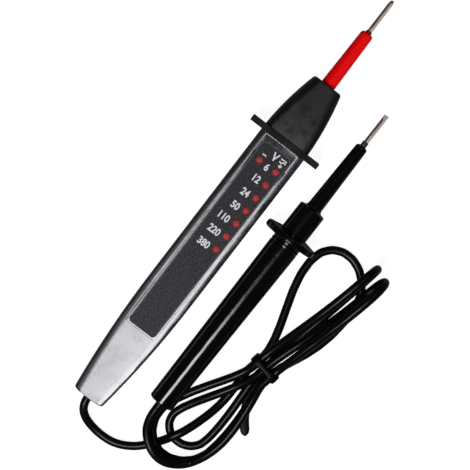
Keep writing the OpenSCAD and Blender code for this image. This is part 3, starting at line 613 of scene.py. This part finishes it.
class TESTER_OT_housing(bpy.types.Operator):
    """Finish the covers, the finger guard and the nose cap in gloss black ABS"""

    bl_idname = "tester.housing"
    bl_label = "Housing"

    def execute(self, context):
        look = context.scene.tester_finish
        # Injection-moulded ABS from three moulds: the covers, a duller nose, a brighter guard
        covers = moulded_abs("abs_gloss_black_moulded", look.housing_hex, 0.19, 0.5, 0.8)
        nose = moulded_abs("abs_satin_black_moulded", look.housing_hex, 0.31, 0.5, 0.6)
        guard = moulded_abs("abs_bright_black_moulded", look.housing_hex, 0.15, 0.6)
        for node, material, edge in (
            ("front_cover", covers, 0.12),
            ("rear_cover", covers, 0.12),
            ("finger_guard", guard, look.edge_mm),
            ("nose_cap", nose, 0.1),
        ):
            dress(node, material)
            soften(node, edge)
        label_lip(covers)
        guard_bead(guard)
        return {"FINISHED"}


def guard_bead(material):
    """The moulded bead where the covers meet the guard: a round bar laid along the
    front cover's own cross-section, found by looking down on it."""
    radius = BEAD_RADIUS * MM
    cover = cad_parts["front_cover"]
    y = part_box("finger_guard")[0].y - radius
    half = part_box("front_cover")[1].x - BEAD_END_INSET * MM
    bpy.context.view_layer.update()
    line = []
    for x in np.linspace(-half, half, 61):
        hit, place, _, _ = cover.ray_cast(Vector((x, y, 0.1)), Vector((0, 0, -1)))
        if hit:
            line.append((x, y, place.z))
    bead = grid_mesh("guard_bead", tube(np.array(line), radius, 16), material)
    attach(bead, TESTER)
    link_to("guards", bead)


def label_lip(material):
    """The lip of the label's recess: the tail slope and the two side facets carried on up
    to the label, as height min((y - fold) tan a, (edge - |x|) tan b) over the flat top."""
    low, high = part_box("scale_label")
    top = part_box("front_cover")[1].z / MM
    front, tail = high.y / MM - LIP_FRONT_INSET, low.y / MM - LIP_GAP
    widening = high.x / MM - LABEL_HALF_TAIL
    half_front = LABEL_HALF_TAIL + widening * LIP_FRONT_SHARE + LIP_GAP
    half_tail = LABEL_HALF_TAIL + LIP_GAP
    # Inside line: down the right side, round the tail corners and up the left side
    turn = np.linspace(0, np.pi / 2, 10)
    corner = np.array([half_tail - LIP_RADIUS, tail + LIP_RADIUS])
    arc = corner + LIP_RADIUS * np.stack([np.cos(turn), -np.sin(turn)], axis=1)
    side_y = np.linspace(front, tail + LIP_RADIUS, 40)[:-1]
    side_x = np.interp(side_y, [tail, high.y / MM], [half_tail, half_front])
    bottom = np.stack([np.linspace(arc[-1, 0], 0, 8), np.full(8, tail)], axis=1)[1:]
    right = np.vstack([np.stack([side_x, side_y], axis=1), arc, bottom])
    inner = np.vstack([right, right[-2::-1] * [-1, 1]])
    # Outside line: the nearest point on the crease of the side, or on the fold
    fold = low.y / MM - LIP_RADIUS / 2
    crease_y = [fold, tail + LIP_RADIUS, high.y / MM]
    edge = np.interp(inner[:, 1], crease_y, CREASE_HALF)
    reach_side = edge - np.abs(inner[:, 0])
    share = np.linspace(0, 1, 7)
    rings = []
    for (x, y), reach in zip(inner, reach_side, strict=True):
        sign = 1 if x >= 0 else -1
        on_side = np.array([x + sign * reach, y])
        on_fold = np.array([x * (1 + reach / max(abs(x), 3)), fold])
        pull = np.clip((tail + LIP_RADIUS - y) / LIP_RADIUS, 0, 1)
        end = on_side * (1 - pull) + on_fold * pull
        line = np.array([x, y]) * (1 - share[:, None]) + end * share[:, None]
        across = np.interp(line[:, 1], crease_y, CREASE_HALF)
        rise = np.minimum(
            (line[:, 1] - fold) * math.tan(SLOPE_ANGLE),
            (across - np.abs(line[:, 0])) * math.tan(CREASE_ANGLE),
        )
        fade = np.clip((front - y) / LIP_FADE, 0, 1)
        upper = np.column_stack([line, top + LIP_OVER + np.clip(rise, 0, None) * fade])
        lower = np.column_stack([line[[-1, 0]], [top - LIP_INTO, top - LIP_INTO]])
        rings.append(np.vstack([upper, lower]))
    lip = grid_mesh("label_lip", np.array(rings) * MM, material)
    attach(lip, TESTER)
    link_to("housing_rims", lip)


class TESTER_OT_scale(bpy.types.Operator):
    """Finish the label and print the plain scale and its signs on it"""

    bl_idname = "tester.scale"
    bl_label = "Printed scale"

    def execute(self, context):
        look, ink_look = context.scene.tester_finish, context.scene.tester_print
        dress("scale_label", printed_foil(look.label_hex))
        soften("scale_label", 0)
        # Screen-printed ink: flat, slightly chalky white
        ink = plain_moulding("screen_ink_white", ink_look.ink_hex, 0.55, 1.5, 0.6, 0.004)
        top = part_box("scale_label")[1].z
        for text, x, y, size in (
            ("V", 0.7, 59.6, 1.12),
            ("6", 0.5, 54.3, 1),
            ("12", 0.1, 48.1, 1),
            ("24", -0.2, 40.9, 1),
            ("50", -0.2, 34.3, 1),
            ("110", -1.0, 27.8, 1),
            ("220", -1.0, 21.1, 1),
            ("380", -1.2, 14.4, 1),
        ):
            printed_figure(text, x * MM, y * MM, top, size * ink_look.figure_height, ink)
        wave = np.linspace(-1, 1, 25)
        for name, x, y, points in (
            ("sign_minus", -3.3, 57.7, np.stack([0.95 * wave, 0 * wave], axis=1)),
            ("sign_plus_level", 4.5, 57.8, np.stack([0.85 * wave, 0 * wave], axis=1)),
            ("sign_plus_upper", 4.5, 58.375, np.stack([0 * wave, 0.275 * wave], axis=1)),
            ("sign_plus_lower", 4.5, 57.225, np.stack([0 * wave, 0.275 * wave], axis=1)),
            ("sign_direct", 4.5, 60.65, np.stack([1.45 * wave, 0 * wave], axis=1)),
            (
                "sign_alternating",
                4.5,
                59.5,
                np.stack([1.45 * wave, 0.35 * np.sin(np.pi * wave)], axis=1),
            ),
        ):
            line = (points + [x, y]) * MM
            printed_stroke(name, line, ink_look.stroke, top, ink)
        # The line runs up the left side, round the front corners and down the right side. It is a
        # painted highlight in light grey, along the edge of the label's recess
        grey = plain_moulding("grey_painted_highlight", "6c6c72", 0.5, 1.5, 0.6, 0.004)
        low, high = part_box("scale_label")
        front, tail = high.y / MM - BORDER_INSET, low.y / MM + BORDER_RADIUS
        half_front, half_tail = high.x / MM - BORDER_INSET, LABEL_HALF_TAIL - BORDER_INSET
        turn = np.linspace(0, np.pi / 2, 9)
        side = np.stack([np.linspace(half_tail, half_front, 12), np.linspace(tail, front, 12)], 1)
        side = side[side[:, 1] < front - BORDER_RADIUS]
        corner = [half_front - BORDER_RADIUS, front - BORDER_RADIUS]
        arc = np.stack([np.cos(turn), np.sin(turn)], axis=1) * BORDER_RADIUS + corner
        right = np.vstack([side, arc])
        border = np.vstack([right, (right * [-1, 1])[::-1]]) * MM
        printed_stroke("label_edge_highlight", border, BORDER_WIDTH * MM, top, grey)
        return {"FINISHED"}


def printed_figure(text, x, y, z, height, ink):
    """A printed figure as a thin mesh, centred at x, y with its height to scale."""
    curve = bpy.data.curves.new("figure", "FONT")
    curve.body = text
    curve.extrude = FONT_HALF_SLAB
    curve.offset = FONT_BOLDER
    source = bpy.data.objects.new("figure", curve)
    bpy.context.scene.collection.objects.link(source)
    bpy.context.view_layer.update()
    mesh = bpy.data.meshes.new_from_object(
        source.evaluated_get(bpy.context.evaluated_depsgraph_get())
    )
    bpy.data.objects.remove(source)
    co = np.zeros(len(mesh.vertices) * 3)
    mesh.vertices.foreach_get("co", co)
    co = co.reshape(-1, 3)
    low, high = co.min(0), co.max(0)
    scale = height / (high[1] - low[1])
    co[:, :2] = (co[:, :2] - (low[:2] + high[:2]) / 2) * scale * [FONT_NARROW, 1] + [x, y]
    share = (co[:, 2] - low[2]) / (high[2] - low[2])
    co[:, 2] = z + INK_OVER * MM + share * INK_THICK * MM
    mesh.vertices.foreach_set("co", co.ravel())
    mesh.materials.clear()
    mesh.materials.append(ink)
    mesh.update()
    piece = bpy.data.objects.new("figure_" + text, mesh)
    bpy.context.scene.collection.objects.link(piece)
    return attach(piece, TESTER)


def printed_stroke(name, line, width, z, ink):
    """A stroke of even width along a flat line: line +- width/2 across, as a thin slab."""
    way = unit(np.gradient(line, axis=0))
    across = np.stack([-way[:, 1], way[:, 0]], axis=1) * width / 2
    low, high = z + INK_OVER * MM, z + (INK_OVER + INK_THICK) * MM
    corner = [(across, low), (across, high), (-across, high), (-across, low)]
    rings = np.stack(
        [np.column_stack([line + a, np.full(len(line), h)]) for a, h in corner], axis=1
    )
    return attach(grid_mesh(name, rings, ink), TESTER)


class TESTER_OT_lamps(bpy.types.Operator):
    """Finish the indicator lamps in diffused red epoxy and their pins in tin"""

    bl_idname = "tester.lamps"
    bl_label = "Indicator lamps"

    def execute(self, context):
        # Cast epoxy with a diffusing filler: soft, slightly translucent red
        epoxy = plain_moulding(
            "epoxy_diffused_red_cast",
            context.scene.tester_finish.lamp_hex,
            0.7,
            1.5,
            0.7,
            0.008,
            Specular_IOR_Level=0.25,
            Subsurface_Weight=0.15,
            Subsurface_Scale=0.4 * MM,
        )
        dress("indicator_lamps", epoxy)
        soften("indicator_lamps", 0)
        # The foil's red-tinted edge round each lamp, found from the tops of the lamps
        tinted = plain_moulding("foil_edge_tinted_red", "64262a", 0.6, 1.5, 0.7, 0.004)
        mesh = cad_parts["indicator_lamps"].data
        co = np.zeros(len(mesh.vertices) * 3)
        mesh.vertices.foreach_get("co", co)
        co = co.reshape(-1, 3)
        left = co[co[:, 2] > co[:, 2].max() - LAMP_TOP_SLICE * MM, :2]
        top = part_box("scale_label")[1].z
        a = 2 * np.pi * np.arange(48) / 48
        for number in range(1, LAMP_COUNT + 1):
            near = np.linalg.norm(left - left[0], axis=1) < LAMP_REACH * MM
            centre = (left[near].min(0) + left[near].max(0)) / 2
            left = left[~near]
            rings = [
                np.stack(
                    [centre[0] + r * np.cos(a), centre[1] + r * np.sin(a), 0 * a + top + z], axis=1
                )
                for r, z in LAMP_EDGE
            ]
            edge = grid_mesh(f"lamp_edge_{number}", np.array(rings), tinted, closed_along=True)
            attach(edge, TESTER)
        # Tin-plated wire, drawn
        dress("lamp_pins", worked_metal("tin_plated_wire", "c8c8cc", 0.3, (1, 1, 0.1), 0.2))
        return {"FINISHED"}


class TESTER_OT_tips(bpy.types.Operator):
    """Finish the sleeves, the neck collars and the steel tips"""

    bl_idname = "tester.tips"
    bl_label = "Tips and sleeves"

    def execute(self, context):
        look = context.scene.tester_finish
        # Injection-moulded nylon: saturated, smooth, with a little light under the skin
        nylon = plain_moulding(
            "nylon_red_moulded",
            look.sleeve_hex,
            0.48,
            1.53,
            2.0,
            0.006,
            Specular_IOR_Level=0.07,
            Subsurface_Weight=0.08,
            Subsurface_Scale=0.6 * MM,
        )
        # Moulded nylon as well, in two dark colours with a satin skin. The tester's collar is the
        # sleeve's red darkened: painted shade at the root of the tip
        collar = plain_moulding("nylon_dark_moulded", "2a2624", 0.45, 1.53, 0.8, 0.008)
        red_collar_painted_shade = plain_moulding("nylon_red_painted_shade", "5b1a17", 0.45, 1.53, 0.8, 0.008)
        # Drawn silver steel: die lines along the rod
        steel = worked_metal("silver_steel_drawn", look.steel_hex, 0.3, (1, 0.06, 1), 0.3)
        for node, material, edge in (
            ("tester_tip_sleeve", nylon, 0),
            ("tester_tip_collar", red_collar_painted_shade, 0.05),
            ("probe_neck_collar", collar, 0.05),
            ("probe_tip_rod", steel, 0.12),
        ):
            dress(node, material)
            soften(node, edge)
        # The tester's rod as rings of radius r(y): a thinner root in the sleeve, then the
        # full rod, ground to a blunt cone, r (1 - 0.4 u^1.7) with u from 0 to 1, and a round end
        low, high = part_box("tester_tip_rod")
        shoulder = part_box("tester_tip_collar")[1].y
        radius = (high.x - low.x) / 2
        u = np.linspace(0, 1, 10)
        end = np.linspace(0.1, 1, 6) * np.pi / 2
        y = np.concatenate(
            [
                [low.y, shoulder - 0.06 * MM, shoulder - 0.03 * MM],
                shoulder + np.array([0, 0.08, 0.16, 0.5]) * MM,
                high.y - (ROUND_LENGTH + CONE_LENGTH * (1 - u)) * MM,
                high.y - ROUND_LENGTH * MM * (1 - np.sin(end)),
            ]
        )
        share = np.concatenate(
            [[0.6, 0.6, 0.62, 0.92, 1, 1, 1], 1 - 0.4 * u**1.7, 0.25 + 0.35 * np.cos(end)]
        )
        line = np.stack([0 * y, y, np.full(len(y), (low.z + high.z) / 2)], axis=1)
        rod = grid_mesh("tester_tip", tube(line, radius * share, 32), steel)
        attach(rod, TESTER)
        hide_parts("tester_tip_rod")
        link_to("tips", rod)
        return {"FINISHED"}


class TESTER_OT_second_probe(bpy.types.Operator):
    """Finish the second probe's handle, guard and barrel in polished black ABS"""

    bl_idname = "tester.second_probe"
    bl_label = "Second probe"

    def execute(self, context):
        # ABS from a polished mould: the deepest black and the sharpest highlight
        polished = moulded_abs("abs_polished_black_moulded", "030303", 0.11, 0.7, 0.3)
        for node, edge in (("probe_handle", 0.1), ("probe_guard", 0.2), ("probe_barrel", 0)):
            dress(node, polished)
            soften(node, edge)
        return {"FINISHED"}


def soft_pvc():
    """Extruded soft PVC: near black with a narrow wet gloss and a faint die ripple."""
    return bpy.data.materials.get("pvc_soft_black_extruded") or plain_moulding(
        "pvc_soft_black_extruded", "0a0a0b", 0.25, 1.52, 1.6, 0.012, Specular_IOR_Level=0.16
    )


class TESTER_OT_lead(bpy.types.Operator):
    """Lay the lead: a tail from the housing, the tied hank, and a tail to the probe"""

    bl_idname = "tester.lead"
    bl_label = "Lead"

    def execute(self, context):
        look = context.scene.tester_lead
        pvc = soft_pvc()
        line = even_line(lead_route() * MM, LEAD_SPACING * MM, LEAD_SOFTNESS * MM)
        line[0], line[-1] = LEAD_START * MM, PROBE_PIVOT * MM
        split = int(np.argmin(np.linalg.norm(line - TURNS_TO_PROBE * MM, axis=1)))
        main, last = line[: split + 1], line[split:]
        lead = grid_mesh("lead", tube(main, look.diameter / 2, look.sides), pvc)
        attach(lead, TESTER)
        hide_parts("lead_from_tester", "lead_hank", "lead_to_probe")
        tail = grid_mesh("lead_at_probe", tube(last, look.diameter / 2, look.sides), pvc)
        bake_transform(tail)
        for node in ("tester_lead_end", "probe_lead_end"):
            dress(node, pvc)
            soften(node, 0)
        return {"FINISHED"}


class TESTER_OT_tie(bpy.types.Operator):
    """Wrap the strap round the hank and lay its loose end on the table"""

    bl_idname = "tester.tie"
    bl_label = "Strap"

    def execute(self, context):
        look = context.scene.tester_lead
        # Soft PVC strap, calendered: black with a low sheen and a fine leathery ripple
        strap = plain_moulding(
            "pvc_strap_calendered", "050506", 0.36, 1.52, 0.9, 0.02, Specular_IOR_Level=0.06
        )
        radius = look.diameter / 2 / MM
        half = STRAND_PITCH + radius + TIE_CLEARANCE
        bottom = STRAND_LOW - radius - TIE_CLEARANCE
        top = STRAND_LOW + STRAND_PITCH + radius + TIE_CLEARANCE
        thick = look.strap_thickness / MM
        width = look.strap_width / MM
        # Round the strands: a rounded box |x/a|^n + |z/b|^n = 1, carried by a rounded strip
        a = 2 * np.pi * np.arange(96) / 96
        power = 2 / 5
        half_x, half_z = half + thick / 2, (top - bottom) / 2 + thick / 2
        x = half_x * np.sign(np.cos(a)) * np.abs(np.cos(a)) ** power
        z = (top + bottom) / 2 + half_z * np.sign(np.sin(a)) * np.abs(np.sin(a)) ** power
        flat = np.array([TIE_PLACE[0], TIE_PLACE[1], 0])
        line = flat + x[:, None] * HANK_ACROSS + np.stack([0 * z, 0 * z, z], axis=1)
        way = unit(np.roll(line, -1, axis=0) - np.roll(line, 1, axis=0))
        out = unit(np.cross(way, HANK_ALONG))
        c = 2 * np.pi * np.arange(12) / 12
        wide = np.sign(np.cos(c)) * np.abs(np.cos(c)) ** 0.4 * width / 2
        deep = np.sign(np.sin(c)) * np.abs(np.sin(c)) ** 0.7 * thick / 2
        # Pulled tight it is waisted on top, and bulges into a bead at each upper corner
        on_top = np.clip((z - bottom) / (top - bottom), 0, 1)
        waist = 1 - STRAP_WAIST * on_top * np.clip(1 - (x / (0.8 * half_x)) ** 2, 0, 1)
        beside, below = (np.abs(x) - half_x) / 1.3, (z - top + 1.2) / 1.8
        bead = STRAP_BEAD * np.exp(-(beside**2) - below**2)
        line = line + (bead * thick / 2)[:, None] * out
        rings = (
            line[:, None]
            + (waist[:, None] * wide)[:, :, None] * HANK_ALONG
            + ((1 + bead)[:, None] * deep)[:, :, None] * out[:, None]
        )
        band = grid_mesh("hank_strap", rings * MM, strap, closed_along=True)
        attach(band, TESTER)
        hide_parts("hank_tie")
        # The loose end: the same strip along its own line, narrowed to a round tip
        end = spline(TIE_END, 8)
        way = unit(np.gradient(end, axis=0))
        side = unit(np.cross(way, [0, 0, 1.0]))
        rise = np.cross(side, way)
        share = np.linspace(0, 1, len(end))
        narrow = np.sqrt(np.clip(1 - np.clip((share - 0.93) / 0.07, 0, 0.97) ** 2, 0, 1))
        rings = (
            end[:, None]
            + (wide[None, :] * narrow[:, None])[:, :, None] * side[:, None]
            + deep[None, :, None] * rise[:, None]
        )
        loose = grid_mesh("hank_strap_end", rings * MM, strap)
        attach(loose, TESTER)
        return {"FINISHED"}


class TESTER_OT_inner_parts(bpy.types.Operator):
    """Finish the screws, the board and the parts inside the housings"""

    bl_idname = "tester.inner_parts"
    bl_label = "Screws and inner parts"

    def execute(self, context):
        # Zinc-plated steel screws, turned brass, stranded copper, transfer-moulded epoxy
        # and moulded polyamide
        zinc = worked_metal("steel_zinc_plated", "b9b9bb", 0.3, (1, 1, 0.2), 0.3)
        brass = worked_metal("brass_turned", "c9a651", 0.25, (0.2, 1, 0.2), 0.3)
        copper = worked_metal("copper_stranded", "b8733a", 0.35, (1, 0.1, 1), 0.25)
        black_epoxy = plain_moulding("epoxy_black_transfer_moulded", "1e1e1f", 0.5, 1.55, 0.3)
        fibre = plain_moulding("polyamide_grey_moulded", "8a8a86", 0.5, 1.53, 0.8)
        for node, material in (
            ("cover_screws", zinc),
            ("clamp_screws", zinc),
            ("tip_contact", brass),
            ("probe_ferrule", brass),
            ("tester_lead_core", copper),
            ("probe_lead_core", copper),
            ("rectifier_diodes", black_epoxy),
            ("comparator_chips", black_epoxy),
            ("lead_clamp", fibre),
            ("probe_lead_stop", fibre),
            # Solder mask on woven glass: the weave shows as a soft 0.6 mm ripple
            ("circuit_board", plain_moulding("glass_epoxy_green_masked", "2f6b3a", 0.35, 1.5, 0.6)),
            ("series_resistors", plain_moulding("ceramic_lacquered_tan", "c9b48a", 0.4, 1.5, 1.0)),
            ("smoothing_capacitor", plain_moulding("pvc_sleeve_shrunk", "27303c", 0.3, 1.5, 2.0)),
        ):
            dress(node, material)
        soften("cover_screws", 0)
        return {"FINISHED"}


# A slightly cool white, and the point on the table that all panels face
PANEL_COLOUR = (0.97, 0.96, 1.0)
LIGHT_TARGET = (0.01, 0.0, 0)


def aim(piece, place, target, up):
    """Places a lamp or camera and turns its -Z to the target, with up at the top."""
    back = (Vector(place) - Vector(target)).normalized()
    right = Vector(up).cross(back).normalized()
    top = back.cross(right)
    turn = Matrix((right, top, back)).transposed()
    piece.matrix_world = Matrix.Translation(Vector(place)) @ turn.to_4x4()


class TESTER_OT_stage(bpy.types.Operator):
    """Set the camera, the floor and the plain soft studio light"""

    bl_idname = "tester.stage"
    bl_label = "Stage"

    def execute(self, context):
        look, scene = context.scene.tester_stage, context.scene
        scene.view_settings.view_transform = "Standard"
        # The photograph's upright edge lies between the row's -X and +Y
        up = (-0.6094, 0.7928, 0.0)
        data = bpy.data.cameras.new("camera")
        data.lens = data.sensor_width * look.distance / look.view_width
        data.clip_start, data.clip_end = 0.01, 20
        camera = bpy.data.objects.new("camera", data)
        scene.collection.objects.link(camera)
        target = Vector(look.target)
        from_target = Vector(
            (-math.tan(look.tilt_to_left), math.tan(look.tilt_to_tip), 1)
        ).normalized()
        aim(camera, target + from_target * look.distance, target, up)
        scene.camera = camera

        # Linked light: three panels light only the covers and the label's lip, and one card
        # each lights only the tips with the red sleeve, the finger guard and the nose
        lit = {}
        for name, nodes in (
            ("housing_rims", ("front_cover", "rear_cover")),
            ("tips", ("probe_tip_rod", "tester_tip_sleeve")),
            ("guards", ("finger_guard",)),
            ("nose", ("nose_cap",)),
        ):
            lit[name] = bpy.data.collections.new(name)
            for node in nodes:
                lit[name].objects.link(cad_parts[node])
        for name, place, size, power, receivers in (
            ("softbox_tail", (0.0, -0.49, 1.15), (0.43, 0.6), 11.2, None),
            ("softbox_tip", (0.15, 0.5, 1.15), (0.45, 0.4), 0.5, None),
            ("softbox_right", (0.68, -0.44, 0.59), (0.76, 1.46), 63.0, "housing_rims"),
            ("softbox_left", (-0.62, -0.26, 0.95), (0.7, 0.34), 8.2, "housing_rims"),
            ("card_left", (-0.83, -0.35, 0.56), (0.73, 0.78), 2.2, "housing_rims"),
            ("card_tips", (0.8, 0.1, 0.4), (1.0, 0.9), 2.6, "tips"),
            ("card_guard", (-0.1, -0.9, 0.3), (1.0, 0.5), 40.0, "guards"),
            ("card_nose", (0.72, -0.05, 0.8), (0.7, 0.8), 0.8, "nose"),
        ):
            lamp = bpy.data.lights.new(name, "AREA")
            lamp.shape = "RECTANGLE"
            lamp.size, lamp.size_y = size
            lamp.energy = power
            lamp.color = PANEL_COLOUR
            piece = bpy.data.objects.new(name, lamp)
            scene.collection.objects.link(piece)
            if receivers:
                piece.light_linking.receiver_collection = lit[receivers]
            aim(piece, place, LIGHT_TARGET, (0, 0, 1))

        world = bpy.data.worlds.new("studio")
        world.use_nodes = True
        tree = world.node_tree
        tree.nodes.clear()
        out = add_node(tree, "ShaderNodeOutputWorld")
        ray = add_node(tree, "ShaderNodeLightPath")
        white = linear("ffffff")
        # A faint fill light, and plain white where the camera looks past the floor
        fill = add_node(tree, "ShaderNodeBackground", None, {"Color": white, "Strength": 0.04})
        seen = add_node(tree, "ShaderNodeBackground", None, {"Color": white, "Strength": 1.0})
        mix = add_node(
            tree,
            "ShaderNodeMixShader",
            None,
            {0: ray.outputs["Is Camera Ray"], 1: fill.outputs[0], 2: seen.outputs[0]},
        )
        tree.links.new(mix.outputs[0], out.inputs["Surface"])
        scene.world = world

        # Matt white card: its own colour, lifted to white only where the camera sees it
        card, tree, out = new_material("card_white_matt")
        ray = add_node(tree, "ShaderNodeLightPath")
        lift = add_node(
            tree,
            "ShaderNodeMath",
            {"operation": "MULTIPLY"},
            {0: ray.outputs["Is Camera Ray"], 1: 0.93},
        )
        diffuse = add_node(tree, "ShaderNodeBsdfDiffuse", None, {"Color": linear("8c8c8c")})
        glow = add_node(
            tree,
            "ShaderNodeEmission",
            None,
            {"Color": white, "Strength": lift.outputs[0]},
        )
        both = add_node(
            tree, "ShaderNodeAddShader", None, {0: diffuse.outputs[0], 1: glow.outputs[0]}
        )
        tree.links.new(both.outputs[0], out.inputs["Surface"])
        # 6 m square, just below the table plane
        across = np.linspace(-3, 3, 5)
        level = np.full((5, 5), -0.05 * MM)
        points = np.stack([*np.meshgrid(across, across, indexing="xy"), level], axis=-1)
        floor = grid_mesh("floor", points, card, closed_across=False, caps=False)
        return {"FINISHED"}


class TESTER_PT_panel(bpy.types.Panel):
    """The tester's pieces in the sidebar"""

    bl_label = "Voltage tester"
    bl_idname = "TESTER_PT_panel"
    bl_space_type = "VIEW_3D"
    bl_region_type = "UI"
    bl_category = "Tester"

    def draw(self, context):
        for operator in OPERATORS:
            self.layout.operator(operator.bl_idname)


SETTINGS = {
    "tester_finish": TesterFinishSettings,
    "tester_print": TesterPrintSettings,
    "tester_lead": TesterLeadSettings,
    "tester_stage": TesterStageSettings,
}
OPERATORS = (
    TESTER_OT_stage,
    TESTER_OT_lead,
    TESTER_OT_tie,
    TESTER_OT_housing,
    TESTER_OT_scale,
    TESTER_OT_lamps,
    TESTER_OT_tips,
    TESTER_OT_second_probe,
    TESTER_OT_inner_parts,
)


def register():
    """Registers the settings, the operators and the panel."""
    for cls in (*SETTINGS.values(), *OPERATORS, TESTER_PT_panel):
        bpy.utils.register_class(cls)
    for name, cls in SETTINGS.items():
        setattr(bpy.types.Scene, name, PointerProperty(type=cls))


def unregister():
    """Takes back what register() did."""
    for name in SETTINGS:
        delattr(bpy.types.Scene, name)
    for cls in (TESTER_PT_panel, *reversed(OPERATORS), *SETTINGS.values()):
        bpy.utils.unregister_class(cls)


def main():
    """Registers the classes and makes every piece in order."""
    register()
    for operator in OPERATORS:
        group, name = operator.bl_idname.split(".")
        getattr(getattr(bpy.ops, group), name)()
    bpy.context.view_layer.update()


if __name__ == "__main__":
    main()
